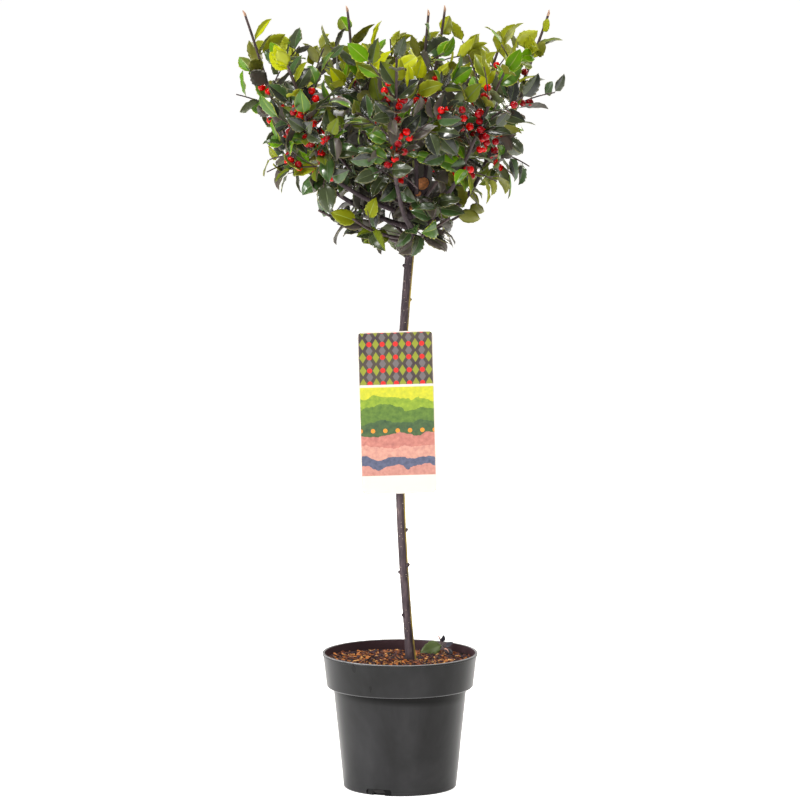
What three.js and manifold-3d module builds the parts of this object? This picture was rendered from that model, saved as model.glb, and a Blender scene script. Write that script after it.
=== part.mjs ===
// A holly grown as a standard: a bare stem with a vase-shaped head of leaves and berries, in a nursery pot.
// Millimetres, +Z up, -Y is the front. The origin is the centre of the pot's flat underside.

import * as THREE from "three";
import { mergeVertices } from "three/addons/utils/BufferGeometryUtils.js";
import Module from "manifold-3d";

const wasm = await Module();
wasm.setup();

// ---------------------------------------------------------------- driving dimensions

const GAP = 0.3; // clearance between pieces that touch on the real plant
const UP = new THREE.Vector3(0, 0, 1);

const POT = {
  height: 166,
  rimRadius: 95,
  collarHeight: 42,
  collarFootRadius: 89.5,
  bodyTopRadius: 81.5,
  footRadius: 69,
  edge: 1.5, // bevel under the foot and under the collar
  wall: 1.8,
  floor: 3,
  lipHeight: 3,
  lipDepth: 1.2,
  segments: 30,
};

// Recesses in the foot of the pot's wall, each with a drain hole in its middle.
const DRAIN = {
  count: 3,
  firstAngle: 247.5,
  width: 33,
  height: 8,
  depth: 1.9,
  holeWidth: 16,
  holeHeight: 7,
};

// The potting mix is mounded a little towards the trunk.
const MIX = { edgeZ: 152, shoulderRadius: 62, shoulderZ: 154.5, crestRadius: 26, crestZ: 156 };

const TRUNK = {
  footZ: MIX.crestZ + GAP,
  headZ: 700, // where the swollen head begins to lean
  tipZ: 747,
  footX: 13.3,
  headX: 16,
  bowX: -15, // sideways bow of the bare stem
  bowY: 3,
  headLean: 0.27, // sideways millimetres for each millimetre of height above headZ
  radius: 5.5,
  flare: 1.7, // extra radius at the foot
  flareHeight: 15,
  burr: 4, // extra radius of the head, where it was pruned
  burrHeight: 27,
  sides: 10,
  pieces: 18,
};

// The saw cut that took off the old leader: a plane across the trunk at this height, facing this way.
const SAW_CUT = { z: 741, normal: new THREE.Vector3(0.05, -0.66, 0.75).normalize() };

const LABEL = {
  width: 92,
  height: 199,
  thickness: 0.9,
  cornerRadius: 7,
  centreX: -3.4,
  centreZ: 462,
  leanDeg: 1.6,
  cornerSegments: 3,
  loopZ: 536,
  loopHeight: 9,
  loopRoom: 0.6, // between the trunk and the loop
  loopWall: 1.1,
  loopSegments: 8,
};

// The head of foliage, measured from its own axis. Its profiles are [height, radius] pairs, from skirt to top.
const CROWN = {
  x: -4,
  y: 0,
  profile: [
    [645, 50],
    [662, 78],
    [700, 116],
    [720, 150],
    [780, 176],
    [860, 206],
    [895, 216],
    [938, 186],
    [960, 186],
  ],
  heart: [[600, 112], [736, 112], [752, 92], [860, 88], [960, 112]], // inside it are the inner masses
  heartGap: 2, // between the heart and the outer masses
  lowestTop: 912, // the leaves of each mass stop at a height of their own, between these
  highestTop: 943,
};

// Two rings of boughs with a mass of foliage at the end of each bough, and two rings of masses on the trunk.
// A mass keeps to its own sector of its ring, between a floor and a ceiling, inside or outside the heart.
// Its leader goes on from its bough, or from the trunk where it has none, past a bend to its tip. Its shoots
// leave the leader at a share of its length. A place is a distance from the crown's axis, a distance aside
// from the middle of the sector and a height. Every other limb starts higher on the trunk, by the stagger.
const RINGS = [
  {
    name: "outer",
    count: 8,
    seeds: [118, 17, 46, 46, 107, 63, 17, 23],
    firstAngle: 0,
    floor: 600,
    ceiling: 960,
    bough: {
      fromZ: 687,
      stagger: 15,
      elbow: { radius: 60, rise: 14 },
      tip: { radius: 100, z: 750 },
      baseRadius: 3.3,
      tipRadius: 2.4,
      pieces: 4,
    },
    leader: { bend: { radius: 142, z: 826 }, tip: { radius: 183, z: 946 }, prunedEvery: 4 },
    shoots: [
      { from: 0.06, radius: 150, aside: 24, z: 754 },
      { from: 0.1, radius: 154, aside: -30, z: 770 },
      { from: 0.2, radius: 130, aside: 50, z: 828 },
      { from: 0.28, radius: 134, aside: -50, z: 846 },
      { from: 0.38, radius: 188, aside: 12, z: 856 },
      { from: 0.48, radius: 120, aside: 4, z: 904 },
      { from: 0.58, radius: 170, aside: -34, z: 900 },
    ],
  },
  {
    name: "inner",
    count: 5,
    seeds: [52, 28, 76, 129, 68],
    firstAngle: 20,
    floor: 795,
    ceiling: 960,
    bough: {
      fromZ: 717,
      stagger: 0,
      elbow: { radius: 24, rise: 36 },
      tip: { radius: 38, z: 798 },
      baseRadius: 2.7,
      tipRadius: 2.2,
      pieces: 3,
    },
    leader: { bend: { radius: 50, z: 860 }, tip: { radius: 62, z: 950 }, prunedEvery: 2 },
    shoots: [
      { from: 0.16, radius: 80, aside: 10, z: 834 },
      { from: 0.26, radius: 64, aside: 28, z: 856 },
      { from: 0.34, radius: 66, aside: -28, z: 870 },
      { from: 0.44, radius: 26, aside: 2, z: 908 },
      { from: 0.52, radius: 86, aside: 4, z: 900 },
    ],
  },
  {
    name: "middle",
    count: 5,
    seeds: [19, 112, 56, 15, 85],
    firstAngle: 56,
    floor: 731,
    ceiling: 795,
    bough: null,
    leader: {
      fromZ: 710,
      stagger: 0,
      bend: { radius: 50, z: 742 },
      tip: { radius: 80, z: 784 },
      prunedEvery: 0,
    },
    shoots: [
      { from: 0.36, radius: 56, aside: 30, z: 766 },
      { from: 0.44, radius: 58, aside: -30, z: 760 },
      { from: 0.54, radius: 84, aside: 16, z: 756 },
    ],
  },
  {
    name: "low",
    count: 5,
    seeds: [33, 40, 114, 89, 60],
    firstAngle: 22,
    floor: 600,
    ceiling: 731,
    bough: null,
    leader: {
      fromZ: 666,
      stagger: 7,
      bend: { radius: 48, z: 682 },
      tip: { radius: 98, z: 706 },
      prunedEvery: 0,
    },
    shoots: [
      { from: 0.26, radius: 56, aside: 32, z: 694 },
      { from: 0.32, radius: 54, aside: -32, z: 688 },
      { from: 0.46, radius: 84, aside: -16, z: 722 },
    ],
  },
];

const BOUGH_SIDES = 5;

const TWIG = {
  leaderRadius: 2.4,
  leaderTipRadius: 1.5,
  leaderPieces: 4,
  leaderReach: 0.6, // the share of the way to its bend that a leader starts out straight
  shootRadius: 1.3,
  shootTipRadius: 0.8,
  shootPieces: 2,
  shootFoot: 0.48, // of the leader's radius at most, so that the foot lies inside the three-sided leader
  sides: 3,
  sampleStep: 3,
  scatter: 7, // how far a shoot's tip may stray from its place
  crook: 0.34, // how long a shoot follows the leader before it takes its own way
  reaches: [1, 0.86, 0.72, 0.58], // a shoot that doesn't fit is tried shorter
  topRoom: 8, // height that every shoot leaves above it
};

// How near the pieces of one mass come to each other and to the limbs.
const CLEAR = {
  ownBough: 9, // this near its start, a leader and its twigs may be close to the bough
  ownTrunk: 14, // or to the trunk
  fork: 12, // this near its fork, a shoot may be close to the leader
  twig: 1,
  twigWall: 1, // between a twig and the border of the mass's space
  leafRoot: 4, // this near its root, a leaf may be close to any twig
  leafStem: 9, // and to the twig that it grows on
  leafTwig: 0.5,
  leafLimb: 0.8,
  leafBerry: 0.3,
  leafWall: 0.6,
  leafLeaf: 1.8,
  berryWall: 1,
  berryLimb: 0.6,
  berryTwig: 0.4,
  berryBerry: 0.2,
};

const LEAF = {
  shortest: 31,
  longest: 42,
  longestAtTip: 38,
  halfWidth: 0.34, // the width, the thickness and the fold are shares of the length
  widestAt: 0.44,
  thickness: 0.032,
  fold: 0.05, // how far the two halves rise from the midrib
  spacing: 18,
  firstNode: 14,
  turn: 120, // from one leaf to the next, round the twig
  firstTurn: 60, // leaves stand off the middles of a three-sided twig's sides
  opening: 52, // from the twig's own direction
  tipOpening: 24,
  atTip: 2,
  tipInset: 1.5,
  endRoom: 4, // the end of a twig, where only the leaves at its tip are
  bareTip: 16, // the end of a pruned leader, which has no leaves
  terminalRoom: 26, // height left above a leader for the leaves at its tip
  faceApex: 0.6, // a leaf's upper face looks towards the twig's tip, the sky and away from the crown's axis
  faceUp: 0.4,
  faceOut: 0.8,
  tries: 6,
  triesInRound: 3,
  roundTurn: 40, // a second round of tries starts this far round the twig
  shrink: 0.05, // of the length at each try
  checkedAt: [0.12, 0.28, 0.44, 0.58, 0.72, 0.86, 1], // shares of the length where clearances are measured
};

// Leaves hang low in the crown and stand up near its top.
const DROOP = { fromZ: 665, height: 200, low: 0.95, high: -0.12 };

// Berries sit in short spirals on the older wood, in the lower half of the crown.
const BERRY = {
  radius: 4.5,
  seat: 4.1, // from the middle of the twig to the middle of the berry
  spacing: 4.6,
  turn: 120,
  fewest: 2,
  most: 4,
  nearest: 0.12, // the shares of a twig's length where a spiral may start
  furthest: 0.42,
  fromZ: 745,
  toZ: 885,
  share: 0.62, // of the twigs at that height that bear any
};

const FUSING_TOLERANCE = 0.04;

// The colour and the surface of each kind of piece.
const FINISHES = {
  pot: { color: 0x3d3f40, roughness: 0.5, metalness: 0 },
  mix: { color: 0x4a2417, roughness: 0.95, metalness: 0 },
  bark: { color: 0x4b4343, roughness: 0.85, metalness: 0 },
  leaf: { color: 0x2f5a2c, roughness: 0.4, metalness: 0 },
  label: { color: 0xf3efea, roughness: 0.45, metalness: 0 },
};

// ---------------------------------------------------------------- seeded random numbers

// mulberry32: the same seed gives the same numbers everywhere.
function seededRandom(seed) {
  let state = seed >>> 0;
  return () => {
    state = (state + 0x6d2b79f5) >>> 0;
    let mixed = Math.imul(state ^ (state >>> 15), state | 1);
    mixed ^= mixed + Math.imul(mixed ^ (mixed >>> 7), mixed | 61);
    return ((mixed ^ (mixed >>> 14)) >>> 0) / 2 ** 32;
  };
}

const between = (random, low, high) => low + (high - low) * random();
const radians = THREE.MathUtils.degToRad;

// ---------------------------------------------------------------- geometry helpers

function geometryToSolid(geometry) {
  const bare = geometry.clone();
  bare.deleteAttribute("normal");
  bare.deleteAttribute("uv");
  const merged = mergeVertices(bare, 1e-4);
  return new wasm.Manifold(
    new wasm.Mesh({
      numProp: 3,
      vertProperties: merged.attributes.position.array,
      triVerts: new Uint32Array(merged.index.array),
    }),
  );
}

function solidToGeometry(solid) {
  const mesh = solid.getMesh();
  const geometry = new THREE.BufferGeometry();
  geometry.setAttribute("position", new THREE.BufferAttribute(new Float32Array(mesh.vertProperties), 3));
  geometry.setIndex(new THREE.BufferAttribute(new Uint32Array(mesh.triVerts), 1));
  geometry.computeVertexNormals();
  return geometry;
}

// The largest body of a solid. A scrap that touches nothing is dropped.
const largestBody = (solid) => solid.decompose().reduce((a, b) => (b.volume() > a.volume() ? b : a));

// A closed tube round a limb's middle line, whose radius follows radiusAt(t).
function taperedTube({ curve, frames, pieces }, radiusAt, sides) {
  const tube = new THREE.CylinderGeometry(1, 1, 1, sides, pieces);
  const position = tube.getAttribute("position");
  const vertex = new THREE.Vector3();
  for (let i = 0; i < position.count; i++) {
    vertex.fromBufferAttribute(position, i);
    const t = vertex.y + 0.5;
    const ring = Math.round(t * pieces);
    const radius = radiusAt(t);
    const place = curve
      .getPoint(t)
      .addScaledVector(frames.normals[ring], vertex.x * radius)
      .addScaledVector(frames.binormals[ring], -vertex.z * radius);
    position.setXYZ(i, place.x, place.y, place.z);
  }
  return tube;
}

// A lathe turned about +Z from a profile of [radius, height] pairs.
function turned(profile, segments) {
  const points = profile.map(([radius, z]) => new THREE.Vector2(radius, z));
  return new THREE.LatheGeometry(points, segments).rotateX(Math.PI / 2);
}

// A place in the crown: out from its axis along an azimuth, and aside from that line.
const ringPoint = (azimuth, radius, aside, z) =>
  new THREE.Vector3(
    CROWN.x + radius * Math.cos(azimuth) - aside * Math.sin(azimuth),
    CROWN.y + radius * Math.sin(azimuth) + aside * Math.cos(azimuth),
    z,
  );

// ---------------------------------------------------------------- pot and potting mix

const COLLAR_Z = POT.height - POT.collarHeight;

function pot() {
  const { wall, floor, edge, height, rimRadius, collarFootRadius, bodyTopRadius, footRadius } = POT;
  const shell = turned(
    [
      [0, 0],
      [footRadius - edge, 0],
      [footRadius, edge],
      [bodyTopRadius, COLLAR_Z],
      [collarFootRadius - edge, COLLAR_Z],
      [collarFootRadius, COLLAR_Z + edge],
      [rimRadius - POT.lipDepth, height - POT.lipHeight],
      [rimRadius, height - POT.lipHeight],
      [rimRadius, height],
      [rimRadius - POT.lipDepth - wall, height],
      [collarFootRadius - wall, COLLAR_Z + wall],
      [bodyTopRadius - wall, COLLAR_Z + wall],
      [footRadius - wall, floor],
      [0, floor],
    ],
    POT.segments,
  );
  const cuts = [];
  // A box that starts at the given radius, and below the ground so that it cuts the foot clean through.
  const cutter = (fromRadius, depth, width, cutHeight, angle) => {
    const box = new THREE.BoxGeometry(depth, width, 2 * cutHeight);
    return geometryToSolid(box.translate(fromRadius + depth / 2, 0, 0).rotateZ(angle));
  };
  for (let i = 0; i < DRAIN.count; i++) {
    const angle = radians(DRAIN.firstAngle + (360 / DRAIN.count) * i);
    cuts.push(cutter(footRadius - DRAIN.depth, 2 * DRAIN.depth, DRAIN.width, DRAIN.height, angle));
    cuts.push(cutter(footRadius - 3 * wall, 4 * wall, DRAIN.holeWidth, DRAIN.holeHeight, angle));
  }
  return largestBody(geometryToSolid(shell).subtract(wasm.Manifold.union(cuts)));
}

function pottingMix() {
  const inner = (radius) => radius - POT.wall - GAP;
  const ledgeZ = COLLAR_Z + POT.wall + GAP;
  const collarShare = (MIX.edgeZ - COLLAR_Z) / POT.collarHeight;
  const edgeRadius = THREE.MathUtils.lerp(POT.collarFootRadius, POT.rimRadius - POT.lipDepth, collarShare);
  return geometryToSolid(
    turned(
      [
        [0, POT.floor + GAP],
        [inner(POT.footRadius), POT.floor + GAP],
        [inner(POT.bodyTopRadius), ledgeZ],
        [inner(POT.collarFootRadius), ledgeZ],
        [inner(edgeRadius), MIX.edgeZ],
        [MIX.shoulderRadius, MIX.shoulderZ],
        [MIX.crestRadius, MIX.crestZ],
        [0, MIX.crestZ],
      ],
      POT.segments,
    ),
  );
}

// ---------------------------------------------------------------- trunk and boughs

function trunkPoint(z) {
  const t = Math.min(1, (z - TRUNK.footZ) / (TRUNK.headZ - TRUNK.footZ));
  const bow = Math.sin(Math.PI * t);
  const lean = Math.max(0, z - TRUNK.headZ) * TRUNK.headLean;
  const x = TRUNK.footX + (TRUNK.headX - TRUNK.footX) * t + TRUNK.bowX * bow + lean;
  return new THREE.Vector3(x, TRUNK.bowY * bow, z);
}

function trunkRadius(z) {
  const flare = TRUNK.flare * Math.exp((TRUNK.footZ - z) / TRUNK.flareHeight);
  const swell = Math.exp(-(((z - TRUNK.tipZ + TRUNK.burrHeight / 2) / TRUNK.burrHeight) ** 2));
  return TRUNK.radius + flare + TRUNK.burr * swell;
}

class TrunkLine extends THREE.Curve {
  getPoint(t, target = new THREE.Vector3()) {
    return target.copy(trunkPoint(TRUNK.footZ + (TRUNK.tipZ - TRUNK.footZ) * t));
  }
}

// The trunk, or with extra > 0 the space round it that the limbs keep clear of.
function trunkSolid(extra) {
  const line = limb(new TrunkLine(), TRUNK.pieces, 0, 0);
  const radiusAt = (t) => trunkRadius(line.curve.getPoint(t).z) + extra;
  const whole = geometryToSolid(taperedTube(line, radiusAt, TRUNK.sides));
  // One block takes off what lies below the ground, another what the saw took off the head.
  const size = 80;
  const block = new THREE.BoxGeometry(size, size, size);
  const ground = block.clone().translate(TRUNK.footX, 0, TRUNK.footZ - extra - size / 2);
  const facing = new THREE.Quaternion().setFromUnitVectors(UP, SAW_CUT.normal);
  const through = trunkPoint(SAW_CUT.z);
  const sawn = block
    .clone()
    .translate(0, 0, size / 2 + extra)
    .applyQuaternion(facing)
    .translate(through.x, through.y, through.z);
  return largestBody(whole.subtract(geometryToSolid(ground)).subtract(geometryToSolid(sawn)));
}

// A line of straight pieces of one length each.
class BentLine extends THREE.Curve {
  constructor(points) {
    super();
    this.points = points;
  }

  getPoint(t, target = new THREE.Vector3()) {
    const pieces = this.points.length - 1;
    const piece = Math.min(pieces - 1, Math.floor(t * pieces));
    return target.lerpVectors(this.points[piece], this.points[piece + 1], t * pieces - piece);
  }
}

// Every limb follows a smooth curve in straight pieces, with a radius at each end.
function limb(smooth, pieces, baseRadius, tipRadius) {
  const frames = smooth.computeFrenetFrames(pieces, false);
  return { curve: new BentLine(smooth.getSpacedPoints(pieces)), frames, pieces, baseRadius, tipRadius };
}

const limbRadius = (one, t) => one.baseRadius + (one.tipRadius - one.baseRadius) * t;

// Points along a limb's middle line, each with the limb's radius there.
function samplesOf(one) {
  const steps = Math.ceil(one.curve.getLength() / TWIG.sampleStep);
  return Array.from({ length: steps + 1 }, (_, i) => ({
    point: one.curve.getPoint(i / steps),
    radius: limbRadius(one, i / steps),
  }));
}

const azimuthOf = (ring, index) => radians(ring.firstAngle + (360 / ring.count) * index);

function boughLimb(ring, index) {
  const { bough } = ring;
  const azimuth = azimuthOf(ring, index);
  const from = trunkPoint(bough.fromZ + bough.stagger * (index % 2));
  const to = ringPoint(azimuth, bough.tip.radius, 0, bough.tip.z);
  const outward = to.clone().sub(from).setZ(0).normalize();
  const elbow = from.clone().addScaledVector(outward, bough.elbow.radius);
  elbow.z += bough.elbow.rise;
  const line = new THREE.QuadraticBezierCurve3(from, elbow, to);
  return limb(line, bough.pieces, bough.baseRadius, bough.tipRadius);
}

// ---------------------------------------------------------------- the space of each mass

// A radius that follows a profile of [height, radius] pairs.
function radiusAtHeight(profile, z) {
  const upper = profile.findIndex(([level]) => level >= z);
  if (upper <= 0) {
    return 0;
  }
  const [z0, r0] = profile[upper - 1];
  const [z1, r1] = profile[upper];
  return r0 + ((r1 - r0) * (z - z0)) / (z1 - z0);
}

// True where a point is within the crown and at least the margin inside the space of one mass.
function inSpace(point, { ring, azimuth, topZ }, margin) {
  const x = point.x - CROWN.x;
  const y = point.y - CROWN.y;
  const radius = Math.hypot(x, y);
  const heart = radiusAtHeight(CROWN.heart, point.z);
  const aside = Math.abs(y * Math.cos(azimuth) - x * Math.sin(azimuth));
  const along = x * Math.cos(azimuth) + y * Math.sin(azimuth);
  const half = Math.PI / ring.count;
  return (
    point.z < topZ &&
    radius < radiusAtHeight(CROWN.profile, point.z) &&
    point.z > ring.floor + margin &&
    point.z < ring.ceiling - margin &&
    along * Math.sin(half) - aside * Math.cos(half) > margin &&
    (ring.name === "outer" ? radius > heart + margin + CROWN.heartGap : radius < heart - margin)
  );
}

// ---------------------------------------------------------------- leaves

// A leaf's frame: its root, its own direction, its side and its upper face.
function leafFrame(root, axis, facing, length) {
  const normal = facing.clone().addScaledVector(axis, -facing.dot(axis)).normalize();
  return { root, axis, normal, side: new THREE.Vector3().crossVectors(axis, normal), length };
}

const leafPoint = (leaf, along, across, above) =>
  leaf.root
    .clone()
    .addScaledVector(leaf.axis, along * leaf.length)
    .addScaledVector(leaf.side, across * leaf.length)
    .addScaledVector(leaf.normal, above * leaf.length);

// How wide a blade is, as a share of its full width, at a share of its length.
const bladeWidth = (along) =>
  along < LEAF.widestAt ? along / LEAF.widestAt : (1 - along) / (1 - LEAF.widestAt);

// Points along the blade's edges and its midrib.
const leafSamples = (leaf) =>
  LEAF.checkedAt.flatMap((along) =>
    [-1, 0, 1].map((hand) => leafPoint(leaf, along, hand * LEAF.halfWidth * bladeWidth(along), 0)),
  );

// True where a point lies within the clearance of a leaf's blade.
function nearLeaf(point, leaf, clearance) {
  const offset = point.clone().sub(leaf.root);
  const along = offset.dot(leaf.axis);
  const share = THREE.MathUtils.clamp(along / leaf.length, 0, 1);
  const halfWidth = LEAF.halfWidth * leaf.length * bladeWidth(share);
  return (
    Math.abs(offset.dot(leaf.normal)) < clearance &&
    along > -clearance &&
    along < leaf.length + clearance &&
    Math.abs(offset.dot(leaf.side)) < halfWidth + clearance
  );
}

// An octahedron drawn out into a blade: its corners are the root, the tip, the two edges and the two faces.
function leafSolid(leaf) {
  const geometry = new THREE.OctahedronGeometry(1);
  const position = geometry.getAttribute("position");
  for (let i = 0; i < position.count; i++) {
    const [x, y, z] = [position.getX(i), position.getY(i), position.getZ(i)].map(Math.round);
    const atEnd = y !== 0;
    const along = atEnd ? (y + 1) / 2 : LEAF.widestAt;
    const above = x === 0 ? (z * LEAF.thickness) / 2 : LEAF.fold;
    const place = leafPoint(leaf, along, x * LEAF.halfWidth, above);
    position.setXYZ(i, place.x, place.y, place.z);
  }
  return geometryToSolid(geometry);
}

function droopAt(z) {
  const height = THREE.MathUtils.clamp((z - DROOP.fromZ) / DROOP.height, 0, 1);
  return THREE.MathUtils.lerp(DROOP.low, DROOP.high, height);
}

// The direction of a twig at t, and the direction away from it that faces one way round it.
function roundTwig(twig, t, turn) {
  const piece = Math.min(twig.pieces - 1, Math.floor(t * twig.pieces));
  const stem = twig.curve.getTangent(t);
  const away = twig.frames.normals[piece]
    .clone()
    .multiplyScalar(Math.sin(turn))
    .addScaledVector(twig.frames.binormals[piece], -Math.cos(turn));
  return { stem, away };
}

// The leaf that stands at t along a twig, turned round it and opened away from it.
function leafAt(twig, t, turn, opening, length) {
  const { stem, away } = roundTwig(twig, t, turn);
  const root = twig.curve.getPoint(t);
  const axis = stem.clone().multiplyScalar(Math.cos(opening)).addScaledVector(away, Math.sin(opening));
  axis.z -= droopAt(root.z);
  axis.normalize();
  const outward = new THREE.Vector3(root.x - CROWN.x, root.y - CROWN.y, 0).normalize();
  const facing = stem.multiplyScalar(LEAF.faceApex);
  facing.addScaledVector(UP, LEAF.faceUp).addScaledVector(outward, LEAF.faceOut);
  return leafFrame(root, axis, facing, length);
}

// ---------------------------------------------------------------- growing a mass

const clearOf = (samples, others, margin) =>
  samples.every((a) => others.every((b) => a.point.distanceTo(b.point) > a.radius + b.radius + margin));

// The leader of a mass goes on from its bough's tip in the bough's own direction, or starts at the trunk.
function leaderLimb({ ring, azimuth, topZ, pruned }, index, bough) {
  const { bend, tip, fromZ, stagger } = ring.leader;
  const corner = ringPoint(azimuth, bend.radius, 0, bend.z);
  const tipZ = pruned ? tip.z : Math.min(tip.z, topZ - LEAF.terminalRoom);
  const end = ringPoint(azimuth, tip.radius, 0, tipZ);
  const from = bough ? bough.curve.getPoint(1) : trunkPoint(fromZ + stagger * (index % 2));
  const way = bough ? bough.frames.tangents[bough.pieces].clone() : corner.clone().sub(from).normalize();
  if (bough) {
    from.addScaledVector(way, GAP);
  }
  const elbow = from.clone().addScaledVector(way, from.distanceTo(corner) * TWIG.leaderReach);
  const line = new THREE.CubicBezierCurve3(from, elbow, corner, end);
  const leader = limb(line, TWIG.leaderPieces, TWIG.leaderRadius, TWIG.leaderTipRadius);
  return { ...leader, samples: samplesOf(leader), pruned };
}

function shootLimb(leader, from, way, to) {
  const elbow = from.clone().addScaledVector(way, from.distanceTo(to) * TWIG.crook);
  const foot = Math.min(TWIG.shootRadius, leader.radiusHere * TWIG.shootFoot);
  const line = new THREE.QuadraticBezierCurve3(from, elbow, to);
  const shoot = limb(line, TWIG.shootPieces, foot, TWIG.shootTipRadius);
  return { ...shoot, samples: samplesOf(shoot), pruned: false };
}

// Grows the twigs of a mass: the leader and its shoots.
function growTwigs({ space, obstacles, random }, leader) {
  const twigs = [leader];
  const inside = ({ point }) =>
    point.z < space.topZ - TWIG.topRoom && inSpace(point, space, TWIG.shootRadius + CLEAR.twigWall);
  for (const plan of space.ring.shoots) {
    const stray = () => between(random, -TWIG.scatter, TWIG.scatter);
    const from = leader.curve.getPoint(plan.from);
    const way = leader.curve.getTangent(plan.from);
    const place = [plan.radius + stray(), plan.aside + stray(), plan.z + stray()];
    const tip = ringPoint(space.azimuth, ...place);
    const radiusHere = limbRadius(leader, plan.from);
    const beyondFork = ({ point }) => point.distanceTo(from) > CLEAR.fork;
    const others = twigs.flatMap((twig) => twig.samples.filter(beyondFork));
    const shoot = TWIG.reaches
      .map((reach) => shootLimb({ radiusHere }, from, way, from.clone().lerp(tip, reach)))
      .find(
        ({ samples }) =>
          samples.every(inside) &&
          clearOf(samples, obstacles, CLEAR.twig) &&
          clearOf(samples.filter(beyondFork), others, CLEAR.twig),
      );
    if (shoot) {
      twigs.push(shoot);
    }
  }
  return twigs;
}

function growBerries({ space, obstacles, twigs, random }) {
  const berries = [];
  for (const twig of twigs) {
    const length = twig.curve.getLength();
    const start = between(random, BERRY.nearest, BERRY.furthest);
    const count = BERRY.fewest + Math.floor(random() * (BERRY.most - BERRY.fewest + 1));
    const firstTurn = between(random, 0, 2 * Math.PI);
    const bears = random() < BERRY.share;
    const { z } = twig.curve.getPoint(start);
    if (!bears || z < BERRY.fromZ || z > BERRY.toZ) {
      continue;
    }
    const others = twigs.filter((other) => other !== twig).flatMap((other) => other.samples);
    for (let i = 0; i < count; i++) {
      const t = start + (i * BERRY.spacing) / length;
      const { away } = roundTwig(twig, t, firstTurn + radians(BERRY.turn) * i);
      const point = twig.curve.getPoint(t).addScaledVector(away, BERRY.seat);
      const berry = { point, radius: BERRY.radius };
      if (
        inSpace(point, space, BERRY.radius + CLEAR.berryWall) &&
        clearOf([berry], obstacles, CLEAR.berryLimb) &&
        clearOf([berry], others, CLEAR.berryTwig) &&
        clearOf([berry], berries, CLEAR.berryBerry)
      ) {
        berries.push(berry);
      }
    }
  }
  return berries;
}

// True where a leaf keeps to the mass's space, and clear of limbs, berries, twigs and other leaves.
function leafFits(leaf, twig, { space, obstacles, twigs, berries }, leaves) {
  const fromRoot = ({ point }) => point.distanceTo(leaf.root);
  const stems = twigs.flatMap((other) =>
    other.samples.filter((sample) => fromRoot(sample) > (other === twig ? CLEAR.leafStem : CLEAR.leafRoot)),
  );
  const clear = (others, margin) =>
    !others.some(({ point, radius }) => nearLeaf(point, leaf, radius + margin));
  const meets = (other) =>
    other.samples.some((point) => nearLeaf(point, leaf, CLEAR.leafLeaf)) ||
    leaf.samples.some((point) => nearLeaf(point, other, CLEAR.leafLeaf));
  return (
    leaf.samples.every((point) => inSpace(point, space, CLEAR.leafWall)) &&
    clear(obstacles, CLEAR.leafLimb) &&
    clear(berries, CLEAR.leafBerry) &&
    clear(stems, CLEAR.leafTwig) &&
    !leaves.some(meets)
  );
}

function growLeaves(mass) {
  const { twigs, random } = mass;
  const leaves = [];
  // Tries a leaf in several turns round the twig, a little shorter each time.
  const tryLeaf = (twig, t, turn, opening, length) => {
    for (let attempt = 0; attempt < LEAF.tries; attempt++) {
      const round = Math.floor(attempt / LEAF.triesInRound);
      const spin = radians(LEAF.turn * attempt + LEAF.roundTurn * round);
      const leaf = leafAt(twig, t, turn + spin, opening, length * (1 - LEAF.shrink * attempt));
      leaf.samples = leafSamples(leaf);
      if (leafFits(leaf, twig, mass, leaves)) {
        leaves.push(leaf);
        return;
      }
    }
  };
  for (const twig of twigs) {
    const length = twig.curve.getLength();
    const end = length - (twig.pruned ? LEAF.bareTip : LEAF.endRoom);
    const spacing = () => LEAF.spacing * between(random, 0.88, 1.12);
    let turn = radians(LEAF.firstTurn + LEAF.turn * Math.floor(random() * 3));
    for (let at = LEAF.firstNode; at < end; at += spacing()) {
      const size = between(random, LEAF.shortest, LEAF.longest);
      const opening = radians(LEAF.opening + between(random, -10, 10));
      tryLeaf(twig, at / length, turn, opening, size);
      turn += radians(LEAF.turn);
    }
    for (let i = 0; !twig.pruned && i < LEAF.atTip; i++) {
      const size = between(random, LEAF.shortest, LEAF.longestAtTip);
      tryLeaf(twig, 1 - LEAF.tipInset / length, turn + Math.PI * i, radians(LEAF.tipOpening), size);
    }
  }
  return leaves;
}

const limbSolid = (one, sides) => geometryToSolid(taperedTube(one, (t) => limbRadius(one, t), sides));

const berrySolid = ({ point, radius }) =>
  geometryToSolid(new THREE.IcosahedronGeometry(radius, 0).translate(point.x, point.y, point.z));

// Grows one mass and fuses its twigs, leaves and berries into one body.
function foliageSolid(ring, index, bough, limbSamples) {
  const random = seededRandom(ring.seeds[index]);
  const pruned = index % ring.leader.prunedEvery === 0;
  const topZ = pruned ? CROWN.highestTop : between(random, CROWN.lowestTop, CROWN.highestTop);
  const space = { ring, azimuth: azimuthOf(ring, index), topZ, pruned };
  const leader = leaderLimb(space, index, bough);
  const start = leader.curve.getPoint(0);
  const near = bough ? CLEAR.ownBough : CLEAR.ownTrunk;
  const obstacles = limbSamples.filter(({ point }) => point.distanceTo(start) > near);
  const mass = { space, obstacles, random };
  mass.twigs = growTwigs(mass, leader);
  mass.berries = growBerries(mass);
  const solids = [
    ...growLeaves(mass).map(leafSolid),
    ...mass.twigs.map((twig) => limbSolid(twig, TWIG.sides)),
    ...mass.berries.map(berrySolid),
  ];
  return wasm.Manifold.union(solids).simplify(FUSING_TOLERANCE);
}

// ---------------------------------------------------------------- the label

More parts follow.
